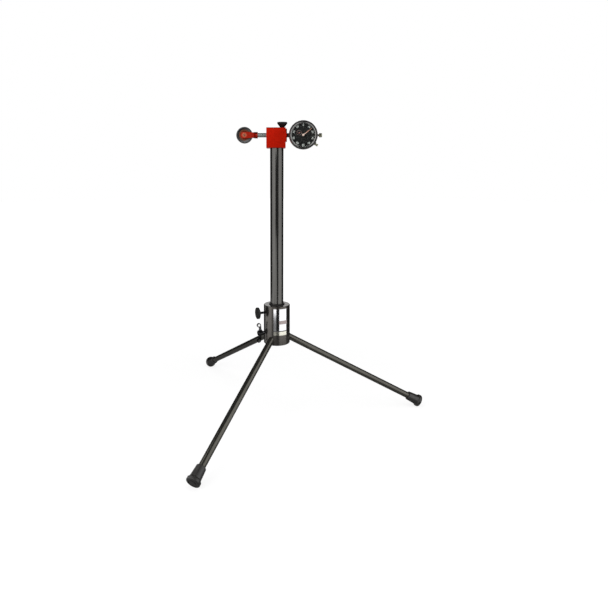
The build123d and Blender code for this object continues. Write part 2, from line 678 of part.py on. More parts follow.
def axle_pin():
    """Plain axle pressed in the ears, grooved behind for its retaining ring."""
    front = FORK_WIDTH / 2 + AXLE_PROUD
    back = -FORK_WIDTH / 2
    radius = AXLE_DIAMETER / 2
    neck = CLIP_NECK_DIAMETER / 2
    return ROLLER_FRAME * turned(
        [
            (0, back - CLIP_THICKNESS - AXLE_PROUD),
            (radius - EDGE, back - CLIP_THICKNESS - AXLE_PROUD),
            (radius, back - CLIP_THICKNESS - AXLE_PROUD + EDGE),
            (radius, back - CLIP_THICKNESS),
            (neck, back - CLIP_THICKNESS),
            (neck, back),
            (radius, back),
            (radius, front - EDGE),
            (radius - EDGE, front),
            (0, front),
        ]
    )


def axle_clip():
    """Open retaining ring in the axle's groove."""
    back = -FORK_WIDTH / 2
    clip = ring(CLIP_DIAMETER / 2, CLIP_NECK_DIAMETER / 2, back - CLIP_THICKNESS, back)
    mouth = Box(CLIP_NECK_DIAMETER * 0.8, CLIP_DIAMETER, CLIP_THICKNESS * 3)
    return ROLLER_FRAME * (clip - Pos(0, -CLIP_DIAMETER / 2, back) * mouth)


def roller_tyre():
    """Rubber tyre with a rounded tread."""
    half = ROLLER_WIDTH / 2
    outer = ROLLER_DIAMETER / 2
    inner = outer - TYRE_THICKNESS
    return ROLLER_FRAME * turned(
        [(inner, -half), (outer, -half), (outer, half), (inner, half)], {1: TYRE_CROWN, 2: TYRE_CROWN}
    )


def roller_wheel():
    """Turned wheel under the tyre, with a thinner web."""
    half = ROLLER_WIDTH / 2
    rim = ROLLER_DIAMETER / 2 - TYRE_THICKNESS
    bush = AXLE_DIAMETER / 2 + RUNNING + ROLLER_BUSH_WALL
    web = ROLLER_WEB_THICKNESS / 2
    return ROLLER_FRAME * turned(
        [
            (bush, -half),
            (bush + RIM_LIP, -half),
            (bush + RIM_LIP, -web),
            (rim - RIM_LIP, -web),
            (rim - RIM_LIP, -half),
            (rim, -half),
            (rim, half),
            (rim - RIM_LIP, half),
            (rim - RIM_LIP, web),
            (bush + RIM_LIP, web),
            (bush + RIM_LIP, half),
            (bush, half),
        ]
    )


def roller_bush():
    """Bronze bush in the wheel, which runs on the axle."""
    bore = AXLE_DIAMETER / 2 + RUNNING
    half = ROLLER_WIDTH / 2 + ROLLER_GAP / 2
    return ROLLER_FRAME * ring(bore + ROLLER_BUSH_WALL, bore, -half, half)


def cover_screw_places():
    """Places of the back cover's screws, between the stem and the spindle's exit."""
    return PolarLocations(CASE_RADIUS - COVER_SCREW_INSET, COVER_SCREWS, start_angle=180 / COVER_SCREWS)


def dial_case():
    """Case of the indicator: wall, web behind the dial, dial seat, and bosses for the cover's screws."""
    inner = CASE_RADIUS - CASE_WALL
    case = turned(
        [
            (inner, CASE_BACK),
            (CASE_RADIUS, CASE_BACK),
            (CASE_RADIUS, CASE_FRONT),
            (inner, CASE_FRONT),
            (inner, WEB_FRONT),
            (DIAL_SEAT_RADIUS, WEB_FRONT),
            (DIAL_SEAT_RADIUS, DIAL_SEAT),
            (ARBOR_DIAMETER / 2 + RUNNING, DIAL_SEAT),
            (ARBOR_DIAMETER / 2 + RUNNING, WEB_BACK),
            (inner, WEB_BACK),
        ]
    )
    for place in cover_screw_places():
        case += place * bar(COVER_BOSS_DIAMETER / 2, CASE_BACK, WEB_BACK)
        case -= place * bar(COVER_SCREW_DIAMETER / 2, CASE_BACK, CASE_BACK + COVER_SCREW_LENGTH)
    for x, y in ((COUNTER_X, COUNTER_Y), (RACK_ARBOR_X, RACK_ARBOR_Y)):
        case -= Pos(x, y) * bar(ARBOR_DIAMETER / 2 + RUNNING, WEB_BACK - 1, DIAL_SEAT + 1)
    case -= ring(
        CASE_RADIUS, CASE_RADIUS - SNAP_RING_DEPTH, SNAP_RING_BACK, SNAP_RING_BACK + SNAP_RING_THICKNESS
    )
    out = CASE_RADIUS + 1
    case -= Rot(0, -90, 0) * bar(STEM_DIAMETER / 2, inner - 3, out)
    case -= Rot(0, 90, 0) * bar(END_BUSH_DIAMETER / 2, inner - 3, out)
    return DIAL_FRAME * (case - CLIP_PLACE * bar(CLIP_SCREW_DIAMETER / 2 + RUNNING, inner - 1, out))


def back_cover():
    """Flat cover behind the case, with countersunk screw holes."""
    back = CASE_BACK - COVER_THICKNESS
    rim = CASE_RADIUS
    cover = turned([(0, back), (rim - EDGE, back), (rim, back + EDGE), (rim, CASE_BACK), (0, CASE_BACK)])
    for place in cover_screw_places():
        cover -= place * cover_screw_form()
    return DIAL_FRAME * cover


def cover_screw_form():
    """Countersunk screw about Z with its head flush behind the cover, not yet slotted."""
    back = CASE_BACK - COVER_THICKNESS
    head = COVER_SCREW_HEAD / 2
    shank = COVER_SCREW_DIAMETER / 2
    return turned(
        [
            (0, back),
            (head, back),
            (shank, back + head - shank),
            (shank, CASE_BACK + COVER_SCREW_LENGTH),
            (0, CASE_BACK + COVER_SCREW_LENGTH),
        ]
    )


def cover_screws():
    """The back cover's slotted screws."""
    slot = Pos(0, 0, CASE_BACK - COVER_THICKNESS) * Box(COVER_SCREW_HEAD, 0.5, 0.8)
    screw = cover_screw_form() - slot
    return DIAL_FRAME * Compound(children=[place * screw for place in cover_screw_places()])


def dial_stem():
    """Tubular stem pressed in the case's left side."""
    inner_end = DIAL_X - CASE_RADIUS + CASE_WALL
    bore = SPINDLE_DIAMETER / 2 + RUNNING
    stem = STEM_DIAMETER / 2
    return BORE_FRAME * turned(
        [
            (bore, STEM_END),
            (stem - EDGE, STEM_END),
            (stem, STEM_END + EDGE),
            (stem, inner_end),
            (bore, inner_end),
        ]
    )


def end_bush():
    """Bush in the case's right side, through which the spindle comes out."""
    wall = DIAL_X + CASE_RADIUS
    return BORE_FRAME * ring(
        END_BUSH_DIAMETER / 2, SPINDLE_DIAMETER / 2 + RUNNING, wall - CASE_WALL, wall + END_BUSH_OUT
    )


def rack_cutter():
    """Comb in the dial's frame that cuts the rack's flat and its gaps, one of them under the pinion."""
    tip = RACK_LINE + ADDENDUM * RACK_MODULE
    root = RACK_LINE - DEDENDUM * RACK_MODULE
    slope = tan(radians(PRESSURE_ANGLE))
    half_line = RACK_PITCH * (1 - TOOTH_FILL) / 2
    half_tip = half_line + (tip - RACK_LINE) * slope
    half_root = half_line - (RACK_LINE - root) * slope
    gap = [(-half_tip, tip), (-half_root, root), (half_root, root), (half_tip, tip)]
    gaps_left = int(TRAVEL / RACK_PITCH) + 3
    points = []
    for number in range(-gaps_left, 3):
        middle = RACK_ARBOR_X + number * RACK_PITCH
        points += [(middle + x, y) for x, y in gap]
    top = SPINDLE_DIAMETER
    comb = Polyline((points[0][0], top), *points, (points[-1][0], top), close=True)
    return extrude(make_face(comb), SPINDLE_DIAMETER, both=True)


def spindle():
    """Spindle from the push rod through the stem and the case to its knob, with its rack and key hole."""
    end = DIAL_X + BEZEL_DIAMETER / 2 + END_KNOB_STANDOFF
    body = BORE_FRAME * (
        bar(SPINDLE_NOSE_DIAMETER / 2, ROD_END - SPINDLE_NOSE_LENGTH, ROD_END)
        + bar(SPINDLE_DIAMETER / 2, ROD_END, end)
        + bar(SPINDLE_NOSE_DIAMETER / 2, end, end + END_KNOB_LENGTH / 2)
    )
    body -= DIAL_FRAME * rack_cutter()
    return body - DIAL_FRAME * Pos(KEY_X, 0) * bar(KEY_DIAMETER / 2, -SPINDLE_DIAMETER, 0)


def spindle_key():
    """Pin in the spindle that keeps it from turning."""
    return DIAL_FRAME * Pos(KEY_X, 0) * bar(KEY_DIAMETER / 2, -KEY_REACH, 0)


def spindle_guide():
    """Slotted block on the back cover, along which the spindle's key slides."""
    half_slot = KEY_DIAMETER / 2 + RUNNING
    left = KEY_X - half_slot - TIP_GAP
    length = TRAVEL + 2 * (half_slot + TIP_GAP)
    height = GUIDE_TOP - CASE_BACK
    corner = (Align.MIN, Align.CENTER, Align.MIN)
    block = Box(length + 2 * GUIDE_WALL, GUIDE_WIDTH, height, align=corner)
    slot = Box(length, 2 * half_slot, height, align=corner)
    guide = Pos(left - GUIDE_WALL, 0, CASE_BACK) * block - Pos(left, 0, CASE_BACK + GUIDE_WALL) * slot
    return DIAL_FRAME * guide


def spindle_knob():
    """Small knob on the spindle's outer end."""
    start = DIAL_X + BEZEL_DIAMETER / 2 + END_KNOB_STANDOFF
    radius = END_KNOB_DIAMETER / 2
    nose = SPINDLE_NOSE_DIAMETER / 2
    return BORE_FRAME * turned(
        [
            (nose, start),
            (radius, start),
            (radius, start + END_KNOB_LENGTH),
            (0, start + END_KNOB_LENGTH),
            (0, start + END_KNOB_LENGTH / 2),
            (nose, start + END_KNOB_LENGTH / 2),
        ],
        {1: 0.8, 2: 1.4},
    )


def bezel():
    """Knurled ring that turns on the case and holds the crystal and the scale."""
    outer = BEZEL_DIAMETER / 2
    opening = BEZEL_OPENING / 2
    crystal = CRYSTAL_DIAMETER / 2
    skirt = CASE_RADIUS + RUNNING
    groove = SNAP_RING_BACK - FACE_GAP
    card_front = CARD_BACK + CARD_THICKNESS
    body = turned(
        [
            (skirt, BEZEL_BACK),
            (outer - EDGE, BEZEL_BACK),
            (outer, BEZEL_BACK + EDGE),
            (outer, BEZEL_FRONT - 1.6),
            (outer - 1.4, BEZEL_FRONT),
            (opening + 1.2, BEZEL_FRONT),
            (opening, BEZEL_FRONT - BEZEL_LIP),
            (crystal, BEZEL_FRONT - BEZEL_LIP),
            (crystal, card_front),
            (skirt, card_front),
        ],
        {3: 0.8},
    )
    body -= ring(skirt + SNAP_RING_PROUD, skirt, groove, groove + SNAP_RING_THICKNESS + 2 * FACE_GAP)
    notch = Box(BEZEL_KNURL_DEPTH * 2, BEZEL_KNURL_DEPTH * 2, BEZEL_FRONT * 3)
    return DIAL_FRAME * (body - PolarLocations(outer, BEZEL_KNURLS) * (Rot(0, 0, 45) * notch))


def snap_ring():
    """Open ring in the case's groove, which keeps the bezel on."""
    outer = CASE_RADIUS + SNAP_RING_PROUD
    inner = CASE_RADIUS - SNAP_RING_DEPTH
    whole = ring(outer, inner, SNAP_RING_BACK, SNAP_RING_BACK + SNAP_RING_THICKNESS)
    mouth = Box(SNAP_RING_MOUTH, outer, CASE_FRONT)
    return DIAL_FRAME * (whole - Pos(0, outer, SNAP_RING_BACK) * mouth)


def crystal():
    """Flat clear crystal behind the bezel's lip."""
    front = BEZEL_FRONT - BEZEL_LIP
    return DIAL_FRAME * bar(CRYSTAL_DIAMETER / 2, front - CRYSTAL_THICKNESS, front)


def outer_scale():
    """Ring of the dial that turns with the bezel."""
    return DIAL_FRAME * ring(CASE_RADIUS + RUNNING, CARD_SPLIT_RADIUS, CARD_BACK, CARD_BACK + CARD_THICKNESS)


def inner_dial():
    """Fixed centre of the dial, with holes for the two arbors."""
    card = bar(CARD_SPLIT_RADIUS - FACE_GAP, DIAL_SEAT, DIAL_SEAT + CARD_THICKNESS)
    hole = bar(ARBOR_DIAMETER / 2 + RUNNING * 2, DIAL_SEAT - 1, DIAL_SEAT + 2)
    return DIAL_FRAME * (card - hole - Pos(COUNTER_X, COUNTER_Y) * hole)


def pointer(length, tail, root, tip):
    """Flat tapered pointer that points along local Y, with a short tail."""
    outline = [(-root, -tail), (root, -tail), (root, 0), (tip, length), (-tip, length), (-root, 0)]
    return make_face(Polyline(*outline, close=True))


def main_hand():
    """Long hand with its boss, on the centre arbor."""
    blade = extrude(pointer(HAND_LENGTH, HAND_TAIL, 0.9, 0.25), HAND_THICKNESS)
    front = HAND_DEPTH + HAND_THICKNESS
    boss = bar(HAND_BOSS_DIAMETER / 2, HAND_DEPTH - LAYER_GAP, front + HAND_BOSS_PROUD)
    hand = Pos(0, 0, HAND_DEPTH) * blade + boss - bar(ARBOR_DIAMETER / 2, 0, front)
    return DIAL_FRAME * Rot(0, 0, -HAND_ANGLE) * hand


def counter_hand():
    """Short hand of the revolution counter, on its own arbor."""
    blade = extrude(pointer(COUNTER_HAND_LENGTH, 1.2, 0.45, 0.15), COUNTER_HAND_THICKNESS)
    hand = Pos(0, 0, COUNTER_DEPTH) * (blade + bar(1.1, 0, COUNTER_HAND_THICKNESS))
    hand = Rot(0, 0, -COUNTER_HAND_ANGLE) * (hand - bar(ARBOR_DIAMETER / 2, 0, COUNTER_DEPTH + LAYER_GAP))
    return COUNTER_ARBOR * hand


def gear(teeth, module, start, width):
    """Spur gear about Z with straight flanks and one tooth on local +X, bored for an arbor."""
    pitch = module * teeth / 2
    tip = pitch + ADDENDUM * module
    root = pitch - DEDENDUM * module
    slope = tan(radians(PRESSURE_ANGLE))
    half = pi * module * TOOTH_FILL / 2
    half_tip = (half - ADDENDUM * module * slope) / tip
    half_root = (half + DEDENDUM * module * slope) / root
    tooth = [(root, -half_root), (tip, -half_tip), (tip, half_tip), (root, half_root)]
    points = []
    for number in range(teeth):
        middle = 2 * pi * number / teeth
        points += [(radius * cos(middle + turn), radius * sin(middle + turn)) for radius, turn in tooth]
    blank = Pos(0, 0, start) * extrude(make_face(Polyline(*points, close=True)), width)
    return blank - bar(ARBOR_DIAMETER / 2, start - 1, start + width + 1)


def rack_pinion():
    """Pinion that the spindle's rack turns."""
    return RACK_ARBOR * gear(RACK_PINION_TEETH, RACK_MODULE, -RACK_PINION_WIDTH / 2, RACK_PINION_WIDTH)


def train_wheel():
    """Large wheel on the rack pinion's arbor, a tooth towards the centre."""
    towards = degrees(atan2(-RACK_ARBOR_Y, -RACK_ARBOR_X))
    return RACK_ARBOR * Rot(0, 0, towards) * gear(
        TRAIN_WHEEL_TEETH, TRAIN_MODULE, TRAIN_WHEEL_DEPTH, WHEEL_THICKNESS
    )


def centre_pinion():
    """Pinion on the main hand's arbor, a gap towards the large wheel."""
    towards = degrees(atan2(RACK_ARBOR_Y, RACK_ARBOR_X)) + 180 / CENTRE_PINION_TEETH
    return DIAL_FRAME * Rot(0, 0, towards) * gear(
        CENTRE_PINION_TEETH, TRAIN_MODULE, CENTRE_PINION_DEPTH, PINION_WIDTH
    )


def counter_pinion():
    """Second pinion on the main hand's arbor, a gap towards the counter's wheel."""
    towards = degrees(atan2(COUNTER_Y, COUNTER_X)) + 180 / COUNTER_PINION_TEETH
    return DIAL_FRAME * Rot(0, 0, towards) * gear(
        COUNTER_PINION_TEETH, COUNTER_MODULE, COUNTER_WHEEL_DEPTH, WHEEL_THICKNESS
    )


def counter_wheel():
    """Wheel on the counter's arbor, a tooth towards the centre."""
    towards = degrees(atan2(-COUNTER_Y, -COUNTER_X))
    return COUNTER_ARBOR * Rot(0, 0, towards) * gear(
        COUNTER_WHEEL_TEETH, COUNTER_MODULE, COUNTER_WHEEL_DEPTH, WHEEL_THICKNESS
    )


def bridge(depth, thickness):
    """Straight bridge about the frame's origin, carried off the case's web by two pillars."""
    outline = SlotOverall(2 * PILLAR_SPREAD + BRIDGE_WIDTH, BRIDGE_WIDTH, rotation=90)
    plate = Pos(0, 0, depth) * extrude(outline, thickness)
    for side in (-1, 1):
        plate += Pos(0, side * PILLAR_SPREAD) * bar(PILLAR_DIAMETER / 2, depth, WEB_BACK)
    return plate


def front_bridge():
    """Bridge between the spindle and the wheels, with an arm for the counter's arbor."""
    width = BRIDGE_WIDTH * 0.7
    turn = degrees(atan2(COUNTER_Y, COUNTER_X))
    arm = Pos(COUNTER_X / 2, COUNTER_Y / 2) * SlotOverall(COUNTER_DISTANCE + width, width, rotation=turn)
    plate = Pos(0, BRIDGE_SHIFT) * bridge(FRONT_BRIDGE_DEPTH, FRONT_BRIDGE_THICKNESS)
    plate += Pos(0, 0, FRONT_BRIDGE_DEPTH) * extrude(arm, FRONT_BRIDGE_THICKNESS)
    hole = bar(ARBOR_DIAMETER / 2 + RUNNING, 0, WEB_BACK)
    return DIAL_FRAME * (plate - hole - Pos(COUNTER_X, COUNTER_Y) * hole)


def rear_bridge():
    """Bridge behind the spindle for the rack pinion's arbor."""
    plate = Pos(RACK_ARBOR_X, BRIDGE_SHIFT) * bridge(REAR_BRIDGE_DEPTH, REAR_BRIDGE_THICKNESS)
    return DIAL_FRAME * plate - RACK_ARBOR * bar(ARBOR_DIAMETER / 2 + RUNNING, CASE_BACK, 0)


def rack_arbor():
    """Arbor of the rack pinion and the large wheel, pivoted in the rear bridge and the web."""
    return RACK_ARBOR * bar(ARBOR_DIAMETER / 2, REAR_BRIDGE_DEPTH, WEB_FRONT - FACE_GAP)


def centre_arbor():
    """Arbor of the main hand, pivoted in the front bridge and the web."""
    return DIAL_FRAME * bar(ARBOR_DIAMETER / 2, FRONT_BRIDGE_DEPTH, HAND_DEPTH + HAND_THICKNESS)


def counter_arbor():
    """Arbor of the counter's hand, pivoted in the front bridge and the web."""
    return COUNTER_ARBOR * bar(ARBOR_DIAMETER / 2, FRONT_BRIDGE_DEPTH, COUNTER_DEPTH + LAYER_GAP)


CLIP_PLACE = Rot(0, 0, CLIP_ANGLE) * Rot(0, 90, 0)


def bezel_clip():
    """Clip seated on the case's wall, hooked over the bezel's back edge."""
    over = BEZEL_DIAMETER / 2 + FACE_GAP
    top = over + CLIP_HEIGHT / 2
    depth = BEZEL_BACK - FACE_GAP - CLIP_BACK
    foot_block = Pos(CASE_RADIUS - 1, 0, CLIP_BACK) * Box(
        top - CASE_RADIUS + 1, CLIP_WIDTH, depth, align=(Align.MIN, Align.CENTER, Align.MIN)
    )
    hook = Pos(over, 0, CLIP_BACK) * Box(
        CLIP_HEIGHT / 2, CLIP_WIDTH, depth + FACE_GAP + CLIP_HOOK, align=(Align.MIN, Align.CENTER, Align.MIN)
    )
    clip = foot_block + hook
    clip -= bar(CASE_RADIUS, CLIP_BACK - 1, BEZEL_FRONT)
    ring_path = bar(over, BEZEL_BACK - FACE_GAP, BEZEL_FRONT)
    clip = Rot(0, 0, CLIP_ANGLE) * (clip - ring_path)
    hole = CLIP_PLACE * bar(CLIP_SCREW_DIAMETER / 2 + RUNNING, 0, BEZEL_DIAMETER)
    return DIAL_FRAME * (clip - hole)


def bezel_clip_screw():
    """Small knurled screw that tightens the clip."""
    seat = BEZEL_DIAMETER / 2 + FACE_GAP + CLIP_HEIGHT / 2
    start = seat + CLIP_SCREW_NECK
    shank = CLIP_SCREW_DIAMETER / 2
    head = CLIP_SCREW_HEAD / 2
    return DIAL_FRAME * CLIP_PLACE * turned(
        [
            (0, CASE_RADIUS - CASE_WALL),
            (shank, CASE_RADIUS - CASE_WALL),
            (shank, seat + FACE_GAP),
            (head * 0.7, seat + FACE_GAP),
            (head * 0.7, start),
            (head, start),
            (head, start + CLIP_SCREW_HEAD_LENGTH),
            (0, start + CLIP_SCREW_HEAD_LENGTH),
        ],
        {5: 0.4, 6: 0.6},
    )


def stand_pieces():
    """The stand: hub, bushes, label, legs and feet."""
    pieces = {
        "hub": hub(),
        "guide_bush": guide_bush(),
        "lower_bush": lower_bush(),
        "label_plate": label_plate(),
    }
    for number in range(LEG_COUNT):
        pieces[f"leg_rod_{number + 1}"] = leg_frame(number) * leg_rod()
        pieces[f"foot_{number + 1}"] = leg_frame(number) * foot()
    return pieces


def clamp_pieces():
    """The clamping screws of the hub and of the head."""
    hub_knob = WALL_RADIUS + HUB_KNOB_STANDOFF
    hub_knob_top = hub_knob + HUB_KNOB_LENGTH
    head_knob = BLOCK_TOP + HEAD_KNOB_STANDOFF
    head_knob_top = head_knob + HEAD_KNOB_LENGTH
    head_tip = AXIS_Z + BORE_DIAMETER / 2 + TIP_GAP
    return {
        "upper_clamp_stud": UPPER_CLAMP * clamp_stud(POST_RADIUS + TIP_GAP, stud_end(hub_knob_top)),
        "upper_clamp_knob": UPPER_CLAMP
        * clamp_knob(HUB_KNOB_DIAMETER, hub_knob, hub_knob_top, HUB_KNOB_RIM),
        "wing_screw": LOWER_CLAMP * wing_screw(),
        "dial_clamp_stud": TOP_CLAMP * clamp_stud(head_tip, stud_end(head_knob_top)),
        "dial_clamp_knob": TOP_CLAMP
        * clamp_knob(HEAD_KNOB_DIAMETER, head_knob, head_knob_top, HEAD_KNOB_RIM),
    }


def head_pieces():
    """The post with its head, the push rod and the roller."""
    return {
        "post_tube": post_tube(),
        "post_plug": post_plug(),
        "head_block": head_block(),
        "post_set_screw": post_set_screw(),
        "rod_bush": rod_bush(),
        "stem_collar": stem_collar(),
        "push_rod": push_rod(),
        "fork": fork(),
        "axle_pin": axle_pin(),
        "axle_clip": axle_clip(),
        "roller_tyre": roller_tyre(),
        "roller_wheel": roller_wheel(),
        "roller_bush": roller_bush(),
    }


def indicator_pieces():
    """The dial indicator."""
    return {
        "dial_case": dial_case(),
        "back_cover": back_cover(),
        "cover_screws": cover_screws(),
        "dial_stem": dial_stem(),
        "end_bush": end_bush(),
        "spindle": spindle(),
        "spindle_knob": spindle_knob(),
        "bezel": bezel(),
        "snap_ring": snap_ring(),
        "crystal": crystal(),
        "outer_scale": outer_scale(),
        "inner_dial": inner_dial(),
        "main_hand": main_hand(),
        "centre_arbor": centre_arbor(),
        "centre_pinion": centre_pinion(),
        "counter_pinion": counter_pinion(),
        "counter_hand": counter_hand(),
        "counter_arbor": counter_arbor(),
        "counter_wheel": counter_wheel(),
        "rack_arbor": rack_arbor(),
        "rack_pinion": rack_pinion(),
        "train_wheel": train_wheel(),
        "front_bridge": front_bridge(),
        "rear_bridge": rear_bridge(),
        "spindle_key": spindle_key(),
        "spindle_guide": spindle_guide(),
        "bezel_clip": bezel_clip(),
        "bezel_clip_screw": bezel_clip_screw(),
    }


def main():
    os.makedirs("parts", exist_ok=True)
    pieces = {**stand_pieces(), **clamp_pieces(), **head_pieces(), **indicator_pieces()}
    for name, piece in pieces.items():
        export_step(piece, f"parts/{name}.step")


main()
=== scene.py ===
"""Looks of a runout gauge on a three-legged stand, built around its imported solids."""

import json
import math

import bmesh
import bpy
from bpy.props import FloatProperty, FloatVectorProperty, IntProperty, PointerProperty
from mathutils import Matrix, Vector


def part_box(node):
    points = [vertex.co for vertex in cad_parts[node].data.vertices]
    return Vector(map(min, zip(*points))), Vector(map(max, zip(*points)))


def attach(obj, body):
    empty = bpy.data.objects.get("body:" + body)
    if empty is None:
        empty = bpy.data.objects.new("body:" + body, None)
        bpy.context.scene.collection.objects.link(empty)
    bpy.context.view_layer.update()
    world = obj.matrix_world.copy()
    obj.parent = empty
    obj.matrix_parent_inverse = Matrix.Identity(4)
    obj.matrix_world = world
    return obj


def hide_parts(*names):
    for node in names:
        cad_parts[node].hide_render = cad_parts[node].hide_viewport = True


bl_info = {
    "name": "Runout gauge",
    "version": (1, 0, 0),
    "blender": (4, 5, 0),
    "location": "3D View > Sidebar > Gauge",
    "description": "Finishes and small parts of a runout gauge with a dial indicator",
    "category": "Object",
}

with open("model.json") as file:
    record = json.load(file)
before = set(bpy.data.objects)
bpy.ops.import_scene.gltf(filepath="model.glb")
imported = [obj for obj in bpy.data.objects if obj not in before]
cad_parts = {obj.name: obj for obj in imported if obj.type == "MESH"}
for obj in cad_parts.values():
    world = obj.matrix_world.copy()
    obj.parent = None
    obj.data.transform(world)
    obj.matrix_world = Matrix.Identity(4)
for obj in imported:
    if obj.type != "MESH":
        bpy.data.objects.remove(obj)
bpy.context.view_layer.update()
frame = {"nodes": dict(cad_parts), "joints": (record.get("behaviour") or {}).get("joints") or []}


def centre_of(node):
    """Middle of a solid's box, at rest."""
    low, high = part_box(node)
    return (low + high) / 2


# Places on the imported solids, in metres
DIAL_CENTRE = centre_of("crystal")
COUNTER_CENTRE = centre_of("counter_arbor")
ROLLER_CENTRE = centre_of("roller_tyre")
PIN_FACE = Vector((ROLLER_CENTRE.x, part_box("fork")[0].y, ROLLER_CENTRE.z))
HUB_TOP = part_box("hub")[1].z
POST_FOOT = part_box("post_tube")[0].z
LABEL_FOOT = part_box("label_plate")[0].z
SCALE_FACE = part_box("outer_scale")[0].y
CARD_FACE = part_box("inner_dial")[0].y

FULL_TURN = 2 * math.pi
ROUND_Z = dict(cent=(0, 0, 0), axis=(0, 0, 1))
SHARP_ANGLE = math.radians(38)


# Materials: numbers and colours over a surface, written as expressions


class Field:
    """A number, colour or vector that varies over a surface. Arithmetic on numbers adds Math nodes."""

    def __init__(self, nodes, socket):
        self.nodes = nodes
        self.socket = socket

    def math(self, operation, *values, clamp=False):
        """Adds a Math node."""
        return self.nodes.node("ShaderNodeMath", dict(operation=operation, use_clamp=clamp), *values)

    def __add__(self, other):
        return self.math("ADD", self, other)

    def __sub__(self, other):
        return self.math("SUBTRACT", self, other)

    def __rsub__(self, other):
        return self.math("SUBTRACT", other, self)

    def __mul__(self, other):
        return self.math("MULTIPLY", self, other)

    def __pow__(self, other):
        return self.math("POWER", self, other)

    def __gt__(self, other):
        return self.math("GREATER_THAN", self, other)

    def __lt__(self, other):
        return self.math("LESS_THAN", self, other)

    __radd__ = __add__
    __rmul__ = __mul__

    def clamped(self):
        """The number, kept between 0 and 1."""
        return self.math("ADD", self, 0.0, clamp=True)

    def sine(self):
        """Sine of the number, as an angle."""
        return self.math("SINE", self)

    def smooth(self, low, high):
        """0 below low, 1 above high, and an even change between."""
        settings = dict(interpolation_type="SMOOTHSTEP")
        return self.nodes.node("ShaderNodeMapRange", settings, self, low, high, 0.0, 1.0)


class Nodes:
    """Shader nodes of a material or of the room."""

    def __init__(self, tree):
        self.tree = tree

    def first(self, kind):
        """The node of a kind that a new tree already has."""
        return next(node for node in self.tree.nodes if node.type == kind)

    def put(self, node, values):
        """Sets or links a node's inputs, given by number or by name. None leaves one as it is."""
        for key, value in values.items():
            socket = node.inputs[key if isinstance(key, int) else key.replace("_", " ")]
            if isinstance(value, Field):
                self.tree.links.new(value.socket, socket)
            elif value is not None:
                socket.default_value = value

    def node(self, kind, settings, *values, out=0, **named):
        """Adds a node: its settings first, then its inputs, in order or by name. Returns one output."""
        node = self.tree.nodes.new(kind)
        for key, value in settings.items():
            setattr(node, key, value)
        self.put(node, {**dict(enumerate(values)), **named})
        return Field(self, node.outputs[out])

    def seen_by(self, *rays):
        """1 for the kinds of ray named, and 0 for others."""
        kinds = [self.node("ShaderNodeLightPath", {}, out=f"Is {ray} Ray") for ray in rays]
        return sum(kinds[1:], kinds[0]).clamped()


class Finish(Nodes):
    """One material with a Principled surface. A colour is three numbers."""

    def __init__(self, name, colour, **plain):
        self.material = bpy.data.materials.new(name)
        self.material.use_nodes = True
        self.material.diffuse_color = opaque(colour)
        super().__init__(self.material.node_tree)
        self.surface = self.first("BSDF_PRINCIPLED")
        self.set(Base_Color=opaque(colour), **plain)
        self.place = self.node("ShaderNodeTexCoord", {}, out="Object")

    def set(self, **values):
        """Feeds the Principled surface."""
        self.put(self.surface, values)

    def mapped(self, scale=(1, 1, 1), turn=(0, 0, 0), shift=(0, 0, 0)):
        """Place on the piece in metres, scaled, turned and then shifted."""
        return self.node("ShaderNodeMapping", {}, self.place, Location=shift, Rotation=turn, Scale=scale)

    def noise(self, size, detail=3.0, rough=0.55, stretch=(1, 1, 1), turn=(0, 0, 0)):
        """Soft noise from 0 to 1 with grains about size metres across, longer where stretch is over 1."""
        where = self.mapped(tuple(1 / (size * longer) for longer in stretch), turn)
        return self.node("ShaderNodeTexNoise", {}, Vector=where, Scale=1.0, Detail=detail, Roughness=rough)

    def specks(self, spacing, radius, patch, above):
        """1 on specks in some patches, and 0 elsewhere.

        The specks are spacing metres apart, and radius is a share of that. They lie where a noise with
        grains of patch metres is above a level.
        """
        where = self.mapped((1 / spacing,) * 3)
        distance = self.node("ShaderNodeTexVoronoi", {}, Vector=where, Scale=1.0)
        return (distance < radius) * (self.noise(patch) > above)

    def axis(self, letter, about=(0, 0, 0)):
        """Distance along one axis from a point, in metres."""
        where = self.mapped(shift=tuple(-along for along in about))
        return self.node("ShaderNodeSeparateXYZ", {}, where, out="XYZ".index(letter))

    def away(self, letters, point=(0, 0, 0)):
        """Distance from a point, measured along the named axes, in metres."""
        steps = [self.axis(letter, point) for letter in letters]
        return sum(step * step for step in steps) ** 0.5

    def mix(self, share, first, second):
        """Colour between two colours, plain or varying."""
        ends = [end if isinstance(end, Field) else opaque(end) for end in (first, second)]
        numbers_and_vectors = (None,) * 5
        settings = dict(data_type="RGBA", blend_type="MIX")
        return self.node("ShaderNodeMix", settings, share, *numbers_and_vectors, *ends, out=2)

    def varied(self, share, colour, dark, light):
        """One colour, from dark times itself to light times itself."""
        return self.mix(share, times(colour, dark), times(colour, light))

    def bump(self, height, depth, under=None):
        """Normal of a surface that rises by depth metres as height goes from 0 to 1."""
        return self.node("ShaderNodeBump", {}, Strength=1.0, Distance=depth, Height=height, Normal=under)


def opaque(colour):
    """Colour of three numbers as a socket takes it."""
    return (*colour[:3], 1.0)


def times(colour, share):
    """Colour made darker by a share under 1, or lighter by one over 1."""
    return [number * share for number in colour]


def wear(*nodes, finish):
    """Gives solids of the frame a finish."""
    for node in nodes:
        slots = frame["nodes"][node].data.materials
        slots.clear()
        slots.append(finish.material)


# Finishes


